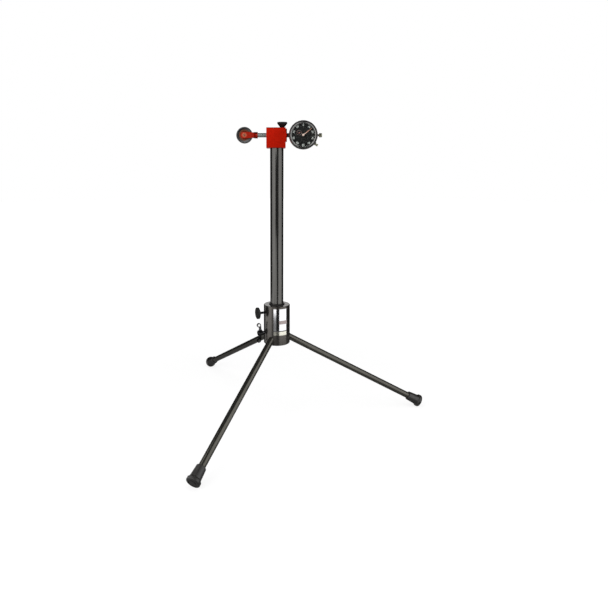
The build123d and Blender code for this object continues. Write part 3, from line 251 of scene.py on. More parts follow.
def hub_paint(settings):
    """Sprayed satin paint: a faint orange peel, cloudy gloss and a little dust."""
    colour, gloss = settings.hub_colour, settings.hub_gloss
    dust = (0.32, 0.31, 0.29)
    paint = Finish("hub_paint", colour, Roughness=gloss, Metallic=settings.hub_metal)
    clouds = paint.noise(size=0.02, detail=4)
    peel = paint.noise(size=0.0009, detail=2)
    specks = paint.specks(spacing=0.0035, radius=0.09, patch=0.012, above=0.56)
    paint.set(
        Base_Color=paint.mix(specks * 0.12, paint.varied(clouds, colour, dark=0.8, light=1.22), dust),
        Roughness=gloss - 0.05 + clouds * 0.12,
        Normal=paint.bump(peel, depth=0.00002),
    )
    return paint


def post_paint(settings):
    """Black satin tube, drawn lengthwise, with rub marks from the hub's bushes."""
    colour, gloss = settings.post_colour, settings.post_gloss
    bare = (0.16, 0.155, 0.15)
    paint = Finish("post_black", colour, Roughness=gloss, Metallic=settings.post_metal)
    grain = paint.noise(size=0.0005, detail=5, stretch=(1, 1, 60))
    clouds = paint.noise(size=0.03, detail=3, stretch=(1, 1, 3))
    height = paint.axis("Z")
    fade_from, fade_to = HUB_TOP + 0.01, HUB_TOP + 0.075
    rubbed = height.smooth(POST_FOOT, HUB_TOP) * (1 - height.smooth(fade_from, fade_to))
    scratches = (paint.noise(size=0.0007, detail=1, stretch=(1, 1, 90)) > 0.71) * rubbed
    rings = paint.noise(size=0.0011, detail=2, stretch=(40, 40, 1)) * rubbed
    paint.set(
        Base_Color=paint.mix(scratches * 0.35, paint.varied(clouds, colour, dark=0.8, light=1.25), bare),
        Roughness=gloss - 0.06 + grain * 0.1 + rings * 0.12,
        Normal=paint.bump(grain, depth=0.000004),
    )
    return paint


def leg_paint(name, node, settings):
    """Black satin rod whose fine grain runs along that leg."""
    low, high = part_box(node)
    middle, size = (low + high) / 2, high - low
    out = math.atan2(middle.y, middle.x)
    slope = math.atan2(size.z, math.hypot(size.x, size.y))
    turn = (Matrix.Rotation(-slope, 3, "Y") @ Matrix.Rotation(-out, 3, "Z")).to_euler()
    lines_per_metre = (24.0, 1700.0, 1700.0)
    colour, gloss = settings.leg_colour, settings.leg_gloss
    chipped = (0.14, 0.13, 0.12)
    paint = Finish(name, colour, Roughness=gloss, Metallic=settings.leg_metal)
    grain = paint.noise(size=0.0006, detail=4, turn=turn)
    place = paint.mapped(turn=turn)
    drawn = paint.node("ShaderNodeVectorMath", dict(operation="MULTIPLY"), place, lines_per_metre)
    lines = paint.node("ShaderNodeTexNoise", {}, Vector=drawn, Scale=1.0, Detail=4.0)
    clouds = paint.noise(size=0.018, detail=4)
    chips = paint.specks(spacing=0.005, radius=0.05, patch=0.02, above=0.6)
    paint.set(
        Base_Color=paint.mix(chips * 0.5, paint.varied(clouds, colour, dark=0.75, light=1.3), chipped),
        Roughness=gloss - 0.06 + lines * 0.12,
        Normal=paint.bump(grain * 0.5 + lines * 0.5, depth=0.000012),
    )
    return paint


def rubber(name, colour, roughness, dusty=False, dish=0.0):
    """Moulded rubber with a fine matt grain and a grey bloom.

    A dusty one is greyer near the floor. A dish slopes the sides of the roller towards its axle.
    """
    dust = (0.13, 0.12, 0.11)
    paint = Finish(name, colour, Roughness=roughness)
    grain = paint.noise(size=0.0004, detail=3)
    bloom = paint.noise(size=0.009, detail=4, rough=0.6)
    shade = paint.varied(bloom.smooth(0.35, 0.75), colour, dark=0.75, light=1.7)
    if dusty:
        low = 1 - paint.axis("Z").smooth(0.001, 0.012)
        shade = paint.mix((low * bloom * 0.5).clamped(), shade, dust)
    hollow = paint.bump(paint.away("XZ", ROLLER_CENTRE) * dish, depth=1.0) if dish else None
    paint.set(
        Base_Color=shade,
        Roughness=roughness - 0.08 + bloom * 0.2,
        Normal=paint.bump(grain, depth=0.00003, under=hollow),
    )
    return paint


def moulded_plastic(name, colour, roughness=0.42):
    """Black moulded plastic with a fine spark-eroded grain."""
    paint = Finish(name, colour, Roughness=roughness, Specular_IOR_Level=0.3)
    grain = paint.noise(size=0.00035, detail=3)
    clouds = paint.noise(size=0.006, detail=3)
    paint.set(
        Base_Color=paint.varied(clouds, colour, dark=0.8, light=1.35),
        Roughness=roughness - 0.05 + clouds * 0.12,
        Normal=paint.bump(grain, depth=0.000018),
    )
    return paint


def turned_metal(name, colour, roughness, centre, pitch=0.0002):
    """Metal faced or turned about an axis along Y: fine rings round it, and soft stains."""
    paint = Finish(name, colour, Metallic=1.0, Roughness=roughness)
    wobble = paint.noise(size=0.002, detail=2) * 3.0
    rings = (paint.away("XZ", centre) * (FULL_TURN / pitch) + wobble).sine() * 0.5 + 0.5
    stains = paint.noise(size=0.005, detail=4)
    paint.set(
        Base_Color=paint.varied(stains, colour, dark=0.82, light=1.12),
        Roughness=roughness - 0.04 + stains * 0.09 + rings * 0.03,
        Normal=paint.bump(rings, depth=0.000002),
    )
    return paint


def ground_metal(name, colour, roughness, stretch=(1, 1, 1)):
    """Ground metal with a fine grain, drawn out to lines by stretch, and faint stains."""
    paint = Finish(name, colour, Metallic=1.0, Roughness=roughness)
    grain = paint.noise(size=0.0003, detail=4, stretch=stretch)
    stains = paint.noise(size=0.004, detail=4)
    paint.set(
        Base_Color=paint.varied(stains, colour, dark=0.86, light=1.084),
        Roughness=roughness - 0.04 + grain * 0.08 + stains * 0.05,
        Normal=paint.bump(grain, depth=0.0000015),
    )
    return paint


def ear_tips(node, width):
    """Middles of the round ends of a wing screw's two ears, which stand one above the other."""
    points = [vertex.co for vertex in frame["nodes"][node].data.vertices]
    tips = []
    for side in (1, -1):
        end = max(point.z * side for point in points) * side
        near = [point for point in points if abs(point.z - end) < width / 4]
        tips.append(sum(near, Vector()) / len(near))
        tips[-1].z = end - side * width / 2
    return tips


def rubbed_plating(settings):
    """Nearly black plating with a painted highlight on each ear of the wing screw: bright metal patches at
    the ear tips.
    """
    # Painted highlights: the bright colour is laid as patches on the tips of both ears.
    dark, bright = settings.plating_colour, (0.95, 0.95, 0.94)
    ear_highlight_radius, dark_radius = 0.0018, 0.0036
    paint = ground_metal("dark_plating", dark, roughness=0.14)
    tips = ear_tips("wing_screw", settings.ear_width)
    patches = [1 - paint.away("XYZ", tip).smooth(ear_highlight_radius, dark_radius) for tip in tips]
    cloud = paint.noise(size=0.003, detail=3) * 0.3 + 0.7
    paint.set(Base_Color=paint.mix(sum(patches).clamped() * cloud, dark, bright))
    return paint


def red_anodised(name, colour, settings, stretch, painted_highlight_at=None):
    """Machined aluminium with a red anodised skin: milling lines, soft clouds, pale specks of wear and,
    where a point is given, a pale ring painted there as a highlight.
    """
    gloss = settings.red_gloss
    speck, pin_highlight_colour = (0.6, 0.1, 0.06), (0.72, 0.22, 0.12)
    pin_highlight_radius, whole_radius = 0.0022, 0.0058
    paint = Finish(name, colour, Metallic=settings.red_metal, Roughness=gloss)
    lines = paint.noise(size=0.00035, detail=4, stretch=stretch)
    clouds = paint.noise(size=0.012, detail=4)
    specks = paint.specks(spacing=0.004, radius=0.06, patch=0.01, above=0.6)
    shade = paint.mix(specks * 0.3, paint.varied(clouds, colour, dark=0.84, light=1.14), speck)
    # Painted highlight: a pale salmon ring round the given point, which is the axle pin on the fork.
    if painted_highlight_at is not None:
        rubbed = 1 - paint.away("XYZ", painted_highlight_at).smooth(pin_highlight_radius, whole_radius)
        shade = paint.mix(rubbed * 0.8, shade, pin_highlight_colour)
    paint.set(
        Base_Color=shade,
        Roughness=gloss - 0.05 + lines * 0.08 + clouds * 0.05,
        Normal=paint.bump(lines, depth=0.000003),
    )
    return paint


def label_foil():
    """Bright foil with a black rule, a brown band, a warm lower part and a dark lower edge."""
    rule_foot, rule_head = 0.0078, 0.0096
    band_foot, band_head, band_left = 0.0222, 0.0292, 0.0042
    warm_to, cool_from, dark_to, light_from = 0.0082, 0.0086, 0.0006, 0.001
    grey, bright, warm = (0.74, 0.75, 0.78), (0.93, 0.93, 0.94), (0.78, 0.76, 0.62)
    brown, black = (0.25, 0.12, 0.09), (0.03, 0.03, 0.035)
    paint = Finish("label_foil", (0.86, 0.86, 0.88), Metallic=1.0, Roughness=0.16)
    height = paint.axis("Z", (0, 0, LABEL_FOOT))
    ripple = paint.noise(size=0.006, detail=3, stretch=(1, 1, 2.5))
    grain = paint.noise(size=0.0006, detail=3)
    uneven = paint.noise(size=0.0012, detail=3) * 0.4 + 0.4
    rule = (height > rule_foot) * (height < rule_head)
    band = (height > band_foot) * (height < band_head) * (paint.axis("X") > band_left)
    lower = 1 - height.smooth(warm_to, cool_from)
    edge = 1 - height.smooth(dark_to, light_from)
    shade = paint.mix(ripple, grey, bright)
    shade = paint.mix(lower * 0.75, shade, warm)
    shade = paint.mix(band * uneven, shade, brown)
    shade = paint.mix((rule * 0.9 + edge * 0.6).clamped(), shade, black)
    ink = (rule + band).clamped()
    paint.set(
        Base_Color=shade,
        Metallic=1 - ink * 0.7 - lower * 0.1,
        Roughness=0.07 + ripple * 0.05 + ink * 0.25 + lower * 0.05,
        Normal=paint.bump(ripple + grain * 0.04, depth=0.00003),
    )
    return paint


def clear_crystal():
    """Flat mineral glass that lets the lamps reach the dial."""
    tint, open_tint = (0.97, 0.98, 0.975), (0.93, 0.95, 0.94)
    paint = Finish("crystal_clear", tint, Roughness=0.015, IOR=1.5, Transmission_Weight=1.0)
    passed = paint.seen_by("Shadow", "Diffuse", "Glossy")
    glass = Field(paint, paint.surface.outputs[0])
    open_glass = paint.node("ShaderNodeBsdfTransparent", {}, opaque(open_tint))
    either = paint.node("ShaderNodeMixShader", {}, passed, glass, open_glass)
    paint.put(paint.first("OUTPUT_MATERIAL"), {"Surface": either})
    return paint


def printed(name, colour, roughness=0.5):
    """Screen-printed ink: a thin even film with slightly uneven gloss."""
    paint = Finish(name, colour, Roughness=roughness)
    grain = paint.noise(size=0.0005, detail=3)
    paint.set(
        Base_Color=paint.varied(grain, colour, dark=0.9, light=1.06),
        Roughness=roughness - 0.05 + grain * 0.1,
    )
    return paint


def hand_paint(name, colour, node, centre):
    """Painted hand, pale at its boss and stronger towards its tip, with a black tail."""
    pale, black = (0.95, 0.68, 0.6), (0.02, 0.02, 0.02)
    paint = printed(name, colour, roughness=0.42)
    steps = [vertex.co - centre for vertex in frame["nodes"][node].data.vertices]
    tip = max(steps, key=lambda step: step.length)
    length = math.hypot(tip.x, tip.z)
    pale_to, strong_from = length * 0.1, length * 0.5
    tail_to, tail_from = -length * 0.14, -length * 0.1
    along = paint.axis("X", centre) * (tip.x / length) + paint.axis("Z", centre) * (tip.z / length)
    shade = paint.varied(paint.noise(size=0.0005, detail=3), colour, dark=0.92, light=1.05)
    shade = paint.mix(along.smooth(pale_to, strong_from), pale, shade)
    paint.set(Base_Color=paint.mix(1 - along.smooth(tail_to, tail_from), shade, black))
    return paint


def dial_black():
    """Matt black dial with a fine sprayed grain and soft clouds."""
    dark, dusty = (0.008, 0.008, 0.009), (0.02, 0.019, 0.018)
    paint = Finish("dial_black", (0.012, 0.012, 0.013), Roughness=0.55, Specular_IOR_Level=0.25)
    grain = paint.noise(size=0.00025, detail=2)
    clouds = paint.noise(size=0.008, detail=3)
    paint.set(
        Base_Color=paint.mix(clouds, dark, dusty),
        Roughness=0.48 + clouds * 0.14,
        Normal=paint.bump(grain, depth=0.000006),
    )
    return paint


# Meshes


def added(name, data):
    """Puts an object in the scene."""
    thing = bpy.data.objects.new(name, data)
    bpy.context.scene.collection.objects.link(thing)
    return thing


def finished(name, mesh, finish):
    """Makes an object of a bmesh and gives it a finish."""
    data = bpy.data.meshes.new(name)
    mesh.to_mesh(data)
    mesh.free()
    data.materials.append(finish.material)
    return added(name, data)


def piece(name, mesh, body, finish):
    """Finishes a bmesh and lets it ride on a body."""
    thing = finished(name, mesh, finish)
    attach(thing, body)
    return thing


def join(mesh, other):
    """Adds one bmesh to another."""
    data = bpy.data.meshes.new("part")
    other.to_mesh(data)
    other.free()
    mesh.from_mesh(data)
    bpy.data.meshes.remove(data)


def outline(mesh, corners, closed=False):
    """Adds a line through corners, each a distance from local Z and a height. Returns its geometry."""
    verts = [mesh.verts.new((out, 0, height)) for out, height in corners]
    nexts = verts[1:] + verts[:1] if closed else verts[1:]
    return verts + [mesh.edges.new(pair) for pair in zip(verts, nexts)]


def on_dial(mesh, face, centre):
    """Places flat print drawn in local XY, towards the viewer from a face of the dial."""
    matrix = Matrix.Translation((centre.x, face, centre.z)) @ Matrix.Rotation(FULL_TURN / 4, 4, "X")
    bmesh.ops.transform(mesh, matrix=matrix, verts=mesh.verts)


def tick(width, inner, outer, thickness):
    """One printed mark, pointing along local Y."""
    mesh = bmesh.new()
    bmesh.ops.create_cube(mesh, size=1.0)
    bmesh.ops.scale(mesh, vec=(width, outer - inner, thickness), verts=mesh.verts)
    bmesh.ops.translate(mesh, vec=(0, (inner + outer) / 2, thickness / 2), verts=mesh.verts)
    return mesh


def ring_of(mesh, count):
    """Repeats a flat mesh evenly round local Z."""
    geom = mesh.verts[:] + mesh.edges[:] + mesh.faces[:]
    angle = FULL_TURN * (count - 1) / count
    bmesh.ops.spin(mesh, geom=geom, **ROUND_Z, angle=angle, steps=count - 1, use_duplicate=True)
    return mesh


def flat_ring(inner, outer, thickness, steps):
    """Flat ring about local Z."""
    mesh = bmesh.new()
    corners = [(inner, 0), (outer, 0), (outer, thickness), (inner, thickness)]
    geom = outline(mesh, corners, closed=True)
    bmesh.ops.spin(mesh, geom=geom, **ROUND_Z, angle=FULL_TURN, steps=steps, use_merge=True)
    bmesh.ops.remove_doubles(mesh, verts=mesh.verts, dist=1e-7)
    bmesh.ops.recalc_face_normals(mesh, faces=mesh.faces)
    return mesh


def numeral(text, height, thickness):
    """Numeral as a closed mesh, centred on the origin of local XY."""
    size_of_height, boldness = 1.38, 0.035
    curve = bpy.data.curves.new("numeral", "FONT")
    curve.body = text
    curve.align_x = "CENTER"
    curve.align_y = "CENTER"
    curve.size = height * size_of_height
    curve.extrude = thickness / 2
    curve.resolution_u = 3
    curve.offset = height * boldness
    thing = added("numeral", curve)
    bpy.context.view_layer.update()
    data = bpy.data.meshes.new_from_object(thing.evaluated_get(bpy.context.evaluated_depsgraph_get()))
    mesh = bmesh.new()
    mesh.from_mesh(data)
    bmesh.ops.remove_doubles(mesh, verts=mesh.verts, dist=1e-7)
    heights = [vertex.co.y for vertex in mesh.verts]
    middle = (min(heights) + max(heights)) / 2
    bmesh.ops.translate(mesh, vec=(0, -middle, thickness / 2), verts=mesh.verts)
    bpy.data.objects.remove(thing)
    bpy.data.meshes.remove(data)
    bpy.data.curves.remove(curve)
    return mesh


def thread(radius, depth, pitch, start, end):
    """Rolled thread about local Z: the profile of one turn is swept up in steps."""
    steps_per_turn, crest_from, crest_to = 24, 0.42, 0.58
    turns = int((end - start) / pitch)
    root = radius - depth
    corners = [
        (root, start),
        (radius, start + pitch * crest_from),
        (radius, start + pitch * crest_to),
        (root, start + pitch),
    ]
    mesh = bmesh.new()
    bmesh.ops.spin(
        mesh,
        geom=outline(mesh, corners),
        **ROUND_Z,
        dvec=(0, 0, pitch / steps_per_turn),
        angle=FULL_TURN * turns,
        steps=steps_per_turn * turns,
    )
    bmesh.ops.remove_doubles(mesh, verts=mesh.verts, dist=1e-6)
    return mesh


def core(radius, tip_radius, tip, shoulder, end):
    """Round rod about local Z with a bevelled tip."""
    mesh = bmesh.new()
    geom = outline(mesh, [(0, tip), (tip_radius, tip), (radius, shoulder), (radius, end), (0, end)])
    bmesh.ops.spin(mesh, geom=geom, **ROUND_Z, angle=FULL_TURN, steps=32, use_merge=True)
    bmesh.ops.remove_doubles(mesh, verts=mesh.verts, dist=1e-7)
    bmesh.ops.recalc_face_normals(mesh, faces=mesh.faces)
    return mesh


# Sizes and colours that a user would change


def colour_property(name, description, default):
    """Colour of three numbers."""
    return FloatVectorProperty(
        name=name, description=description, default=default, subtype="COLOR", size=3, min=0, max=1
    )


def length_property(name, description, default):
    """Length in metres."""
    return FloatProperty(name=name, description=description, default=default, unit="LENGTH", precision=5)


def share_property(name, description, default):
    """Share from 0 to 1."""
    return FloatProperty(
        name=name, description=description, default=default, subtype="FACTOR", min=0, max=1
    )


def number_property(name, description, default):
    """Number with no unit."""
    return FloatProperty(name=name, description=description, default=default)


class GaugeStage(bpy.types.PropertyGroup):
    """Camera, lights and what gloss reflects"""

    camera_height: length_property("Camera height", "Height of the camera over the floor", 0.475)
    camera_distance: length_property("Camera distance", "From the camera to the post's axis", 0.999)
    camera_pitch: FloatProperty(
        name="Camera pitch",
        description="How far the camera looks down",
        default=math.radians(6.15),
        subtype="ANGLE",
    )
    focal_length: FloatProperty(
        name="Focal length",
        description="Of the lens, in millimetres",
        default=30.97,
        subtype="DISTANCE_CAMERA",
    )
    shift_x: number_property("Shift X", "Sideways lens shift that frames the gauge", 0.0447)
    shift_y: number_property("Shift Y", "Upward lens shift that frames the gauge", -0.1261)
    side_light: number_property("Side light", "Brightness of the two softboxes", 2.9)
    top_light: number_property("Top light", "Brightness of the softbox above", 2.0)
    ambient: share_property("Ambient", "Brightness of the room", 0.3)
    card_light: number_property("Cards", "Brightness of the cards that gloss reflects", 1.25)
    floor_gloss: number_property("Floor in gloss", "Brightness of the floor in metal", 0.08)
    card_radius: length_property("Card radius", "From the post to the cards that gloss reflects", 0.46)
    card_height: length_property("Card height", "Height of the lid over the cards", 1.0)


class GaugeStand(bpy.types.PropertyGroup):
    """Hub, post, legs, feet and clamping screws"""

    hub_colour: colour_property("Hub", "Finish of the hub", (0.112, 0.104, 0.096))
    leg_colour: colour_property("Legs", "Finish of the legs", (0.102, 0.098, 0.085))
    post_colour: colour_property("Post", "Finish of the post", (0.122, 0.12, 0.114))
    rubber_colour: colour_property("Feet", "Rubber of the feet", (0.014, 0.013, 0.012))
    hub_gloss: share_property("Hub roughness", "Roughness of the hub", 0.2)
    leg_gloss: share_property("Leg roughness", "Roughness of the legs", 0.16)
    post_gloss: share_property("Post roughness", "Roughness of the post", 0.15)
    hub_metal: share_property("Hub metallic", "How metallic the hub's finish is", 0.85)
    leg_metal: share_property("Leg metallic", "How metallic the legs' finish is", 0.85)
    post_metal: share_property("Post metallic", "How metallic the post's finish is", 0.9)
    plastic_colour: colour_property("Knobs", "Plastic of the knobs", (0.01, 0.01, 0.01))
    plating_colour: colour_property("Wing screw", "Plating of the wing screw", (0.05, 0.05, 0.052))
    ear_width: length_property("Ear width", "Width of the wing screw's ears", 0.0082)
    thread_pitch: length_property("Thread pitch", "Pitch of the upper stud's thread", 0.0008)
    thread_depth: length_property("Thread depth", "Depth of the upper stud's thread", 0.00035)
    bare_tip: length_property("Bare tip", "Length of the upper stud's tip without thread", 0.001)


class GaugeHead(bpy.types.PropertyGroup):
    """Red block, fork and roller"""

    red: colour_property("Red", "Skin of the block", (0.74, 0.015, 0.003))
    fork_red: colour_property("Fork", "Skin of the fork", (0.42, 0.02, 0.008))
    red_metal: share_property("Red metallic", "How metallic the red skin is", 0.94)
    red_gloss: share_property("Red roughness", "Roughness of the red skin", 0.36)
    tyre_colour: colour_property("Tyre", "Rubber of the roller", (0.007, 0.006, 0.006))
    tyre_dish: number_property("Tyre dish", "Slope of the tyre's sides to the axle", 0.2)
    wheel_colour: colour_property("Wheel", "Metal of the roller's wheel", (0.17, 0.062, 0.034))


class GaugeDial(bpy.types.PropertyGroup):
    """Indicator, its print and its hands"""

    ticks: IntProperty(name="Marks", description="Marks round the scale", default=100)
    tick_outer: length_property("Marks' outer radius", "Radius of the marks' outer ends", 0.0222)
    tick_inner: length_property("Marks' inner radius", "Radius of the short marks' inner ends", 0.0212)
    tick_width: length_property("Mark width", "Width of the short marks", 0.00035)
    long_inner: length_property("Long marks' inner radius", "Radius of the long marks' inner ends", 0.0206)
    long_wider: number_property("Long marks' width", "Their width over a short mark's", 1.7)
    rim_line: length_property("Rim line", "Width of the line round the marks", 0.0001)
    numeral_radius: length_property("Numeral radius", "Radius of the numerals' middles", 0.0184)
    numeral_height: length_property("Numeral height", "Height of the numerals", 0.0036)
    counter_inner: length_property("Counter's inner radius", "Radius of its marks' inner ends", 0.0036)
    counter_outer: length_property("Counter's outer radius", "Radius of its marks' outer ends", 0.0045)
    counter_width: length_property("Counter mark width", "Width of the counter's marks", 0.0003)
    ring_inner: length_property("Ring's inner radius", "Inside of the counter's ring", 0.0047)
    ring_outer: length_property("Ring's outer radius", "Outside of the counter's ring", 0.0049)
    ink_thickness: length_property("Ink thickness", "Thickness of the printed film", 0.00004)
    white: colour_property("White ink", "Numerals and marks", (0.82, 0.82, 0.8))
    salmon: colour_property("Hand paint", "Paint of the hands", (0.9, 0.45, 0.34))
    counter_ink: colour_property("Counter ink", "Ring and hand of the counter", (0.5, 0.22, 0.2))
    bezel_colour: colour_property("Bezel", "Plating of the bezel", (0.27, 0.265, 0.26))
    case_colour: colour_property("Case", "Skin of the case", (0.1, 0.1, 0.1))


# Numbers printed on the dial, of the hundred parts of a turn
PARTS = 100
NUMERALS = range(0, PARTS, 10)

# Softboxes: degrees round from the camera's side, distance and height in metres, degrees of tilt, width and
# depth in metres, and the setting of their brightness
SOFTBOXES = (
    ("left_softbox", -52, 1.3, 0.75, 78, 1.0, 1.0, "side_light"),
    ("right_softbox", 52, 1.3, 0.75, 78, 1.0, 1.0, "side_light"),
    ("top_softbox", 0, 0.15, 1.6, 0, 1.2, 0.9, "top_light"),
)

# Cards round the gauge: from and to in degrees round from the camera's side, foot and head in metres, and
# the shares of the brightness there
CARDS = (
    ("left_low_card", -118, -44, 0.0, 0.11, 1.0, 1.0),
    ("left_low_gap", -44, -28, 0.0, 0.11, 0.12, 0.12),
    ("front_low_card", -28, -5, 0.0, 0.06, 0.22, 0.12),
    ("front_step_card", -28, -5, 0.06, 0.11, 0.12, 1.6),
    ("front_low_flag", -5, 21, 0.0, 0.11, 0.01, 0.01),
    ("right_low_card", 21, 88, 0.0, 0.11, 1.0, 1.0),
    ("right_low_flag", 88, 150, 0.0, 0.11, 0.01, 0.01),
    ("left_card", -86, -24, 0.11, 1.0, 1.0, 1.0),
    ("front_middle_card", -24, 0, 0.11, 0.3, 1.0, 0.5),
    ("front_middle_flag", 0, 27, 0.11, 0.3, 0.01, 0.01),
    ("front_high_flag", -24, 30, 0.3, 0.52, 0.02, 0.02),
    ("front_top_card", -24, 0, 0.52, 0.74, 0.95, 0.95),
    ("front_top_flag", 0, 30, 0.52, 0.74, 0.02, 0.02),
    ("front_head_card", -24, -8, 0.76, 0.93, 3.4, 3.4),
    ("front_head_flag", -8, 30, 0.74, 1.0, 0.02, 0.02),
    ("right_middle_card", 27, 92, 0.11, 0.3, 1.0, 1.0),
    ("right_high_card", 30, 92, 0.3, 1.0, 0.95, 0.95),
    ("right_flag", 92, 150, 0.11, 1.0, 0.01, 0.01),
    ("rear_low_flag", 150, 210, 0.0, 0.28, 0.01, 0.01),
    ("rear_card", 171, 189, 0.28, 0.42, 0.9, 0.9),
    ("rear_flag", 150, 171, 0.28, 0.56, 0.1, 0.1),
    ("rear_left_flag", 189, 210, 0.28, 0.56, 0.1, 0.1),
    ("rear_middle_flag", 171, 189, 0.42, 0.56, 0.1, 0.1),
    ("rear_top_card", 150, 210, 0.56, 1.0, 0.6, 0.6),
    ("left_low_flag", 210, 242, 0.0, 0.11, 0.01, 0.01),
    ("left_flag", 210, 274, 0.11, 1.0, 0.01, 0.01),
)

# Width of a card's flat strips in degrees, and the glow of the lid over the cards
STRIP_DEGREES = 6
LID_GLOW = (0.01, 0.01, 0.01)


# One operator for each group of like pieces


class GAUGE_OT_stage(bpy.types.Operator):
    """Floor, room, softboxes, cards and camera"""

    bl_idname = "gauge.stage"
    bl_label = "Stage"

    def execute(self, context):
        settings = context.scene.gauge_stage
        context.scene.view_settings.view_transform = "Standard"
        self.floor(settings)
        self.room(context, settings)
        for name, angle, distance, height, tilt, width, depth, light in SOFTBOXES:
            turn = math.radians(angle)
            place = (distance * math.sin(turn), -distance * math.cos(turn), height)
            self.softbox(name, place, (math.radians(tilt), 0, turn), width, depth, getattr(settings, light))
        for name, start, end, low, high, *shares in CARDS:
            self.card(name, start, end, low, high, shares, settings)
        self.lid(settings)
        self.camera(context, settings)
        return {"FINISHED"}

    def floor(self, settings):
        """Disc that the camera sees white and gloss sees dark. It takes the gauge's shadow."""
        grey = (0.2, 0.2, 0.2)
        middle, rise, rise_from, rise_to = 0.85, 0.25, 0.3, 1.4
        mesh = bmesh.new()
        bmesh.ops.create_circle(mesh, cap_ends=True, segments=64, radius=8.0)
        paper = Finish("paper", grey, Roughness=0.9, Specular_IOR_Level=0.0)
        brightness = paper.away("XY").smooth(rise_from, rise_to) * rise + middle
        glow = paper.seen_by("Camera", "Transmission") * brightness
        glow = glow + paper.seen_by("Glossy") * settings.floor_gloss
        paper.set(Emission_Color=glow, Emission_Strength=1.0)
        finished("floor", mesh, paper)

    def room(self, context, settings):
        """White room for the camera, glass and gloss, and a dim one for matt surfaces."""
        world = bpy.data.worlds.new("room")
        context.scene.world = world
        world.use_nodes = True
        room = Nodes(world.node_tree)
        light = room.seen_by("Camera", "Transmission", "Glossy") * (1 - settings.ambient) + settings.ambient
        room.put(room.first("BACKGROUND"), {"Color": (1, 1, 1, 1), "Strength": light})

    def softbox(self, name, place, turn, width, depth, brightness):
        """Area lamp that neither the camera nor gloss sees."""
        lamp = bpy.data.lights.new(name, "AREA")
        lamp.shape = "RECTANGLE"
        lamp.size, lamp.size_y = width, depth
        lamp.energy = brightness * math.pi * width * depth
        box = added(name, lamp)
        box.location = place
        box.rotation_euler = turn
        box.visible_camera = box.visible_glossy = False

    def card(self, name, start, end, low, high, shares, settings):
        """Curved card round the gauge, from one brightness at its foot to another at its head."""
        mesh = bmesh.new()
        turn, radius = math.radians(start), settings.card_radius
        foot = mesh.verts.new((radius * math.sin(turn), -radius * math.cos(turn), low))
        head = mesh.verts.new((foot.co.x, foot.co.y, high))
        rail = [foot, head, mesh.edges.new((foot, head))]
        angle, steps = math.radians(end - start), max(2, int((end - start) / STRIP_DEGREES))
        bmesh.ops.spin(mesh, geom=rail, **ROUND_Z, angle=angle, steps=steps)
        paper = self.board(name, mesh)
        foot_glow, head_glow = [opaque([share * settings.card_light] * 3) for share in shares]
        if foot_glow == head_glow:
            paper.set(Emission_Color=foot_glow)
        else:
            paper.set(Emission_Color=paper.mix(paper.axis("Z").smooth(low, high), foot_glow, head_glow))

    def lid(self, settings):
        """Black board over the cards."""
        mesh = bmesh.new()
        bmesh.ops.create_circle(mesh, cap_ends=True, segments=48, radius=settings.card_radius)
        bmesh.ops.translate(mesh, vec=(0, 0, settings.card_height), verts=mesh.verts)
        self.board("lid", mesh).set(Emission_Color=opaque(LID_GLOW))

    def board(self, name, mesh):
        """Makes a board that only gloss shows. Returns its paper, to be given a glow."""
        paper = Finish(name, (0, 0, 0), Roughness=1.0, Specular_IOR_Level=0.0, Emission_Strength=1.0)
        board = finished(name, mesh, paper)
        board.visible_camera = board.visible_diffuse = False
        board.visible_shadow = board.visible_transmission = False
        return paper

    def camera(self, context, settings):
        """Camera before the gauge, looking a little down."""
        data = bpy.data.cameras.new("view")
        data.lens = settings.focal_length
        data.shift_x = settings.shift_x
        data.shift_y = settings.shift_y
        data.clip_start = 0.02
        camera = added("view", data)
        camera.location = (0, -settings.camera_distance, settings.camera_height)
        camera.rotation_euler = (FULL_TURN / 4 - settings.camera_pitch, 0, 0)
        context.scene.camera = camera


class GAUGE_OT_stand(bpy.types.Operator):
    """Paint of the hub, the post and the legs, and the bushes that guide the post"""

    bl_idname = "gauge.stand"
    bl_label = "Stand"

    def execute(self, context):
        settings = context.scene.gauge_stand
        wear("hub", finish=hub_paint(settings))
        wear("post_tube", finish=post_paint(settings))
        for number in (1, 2, 3):
            node = f"leg_rod_{number}"
            wear(node, finish=leg_paint(f"leg_paint_{number}", node, settings))
        plastic = moulded_plastic("bush_plastic", colour=(0.012, 0.012, 0.012), roughness=0.5)
        wear("guide_bush", "lower_bush", "post_plug", finish=plastic)
        sole = rubber("foot_rubber", settings.rubber_colour, roughness=0.36, dusty=True)
        sole.set(Specular_IOR_Level=0.75)
        wear("foot_1", "foot_2", "foot_3", finish=sole)
        return {"FINISHED"}


class GAUGE_OT_label(bpy.types.Operator):
    """Plain foil label on the hub"""

    bl_idname = "gauge.label"
    bl_label = "Label"

    def execute(self, context):
        wear("label_plate", finish=label_foil())
        return {"FINISHED"}


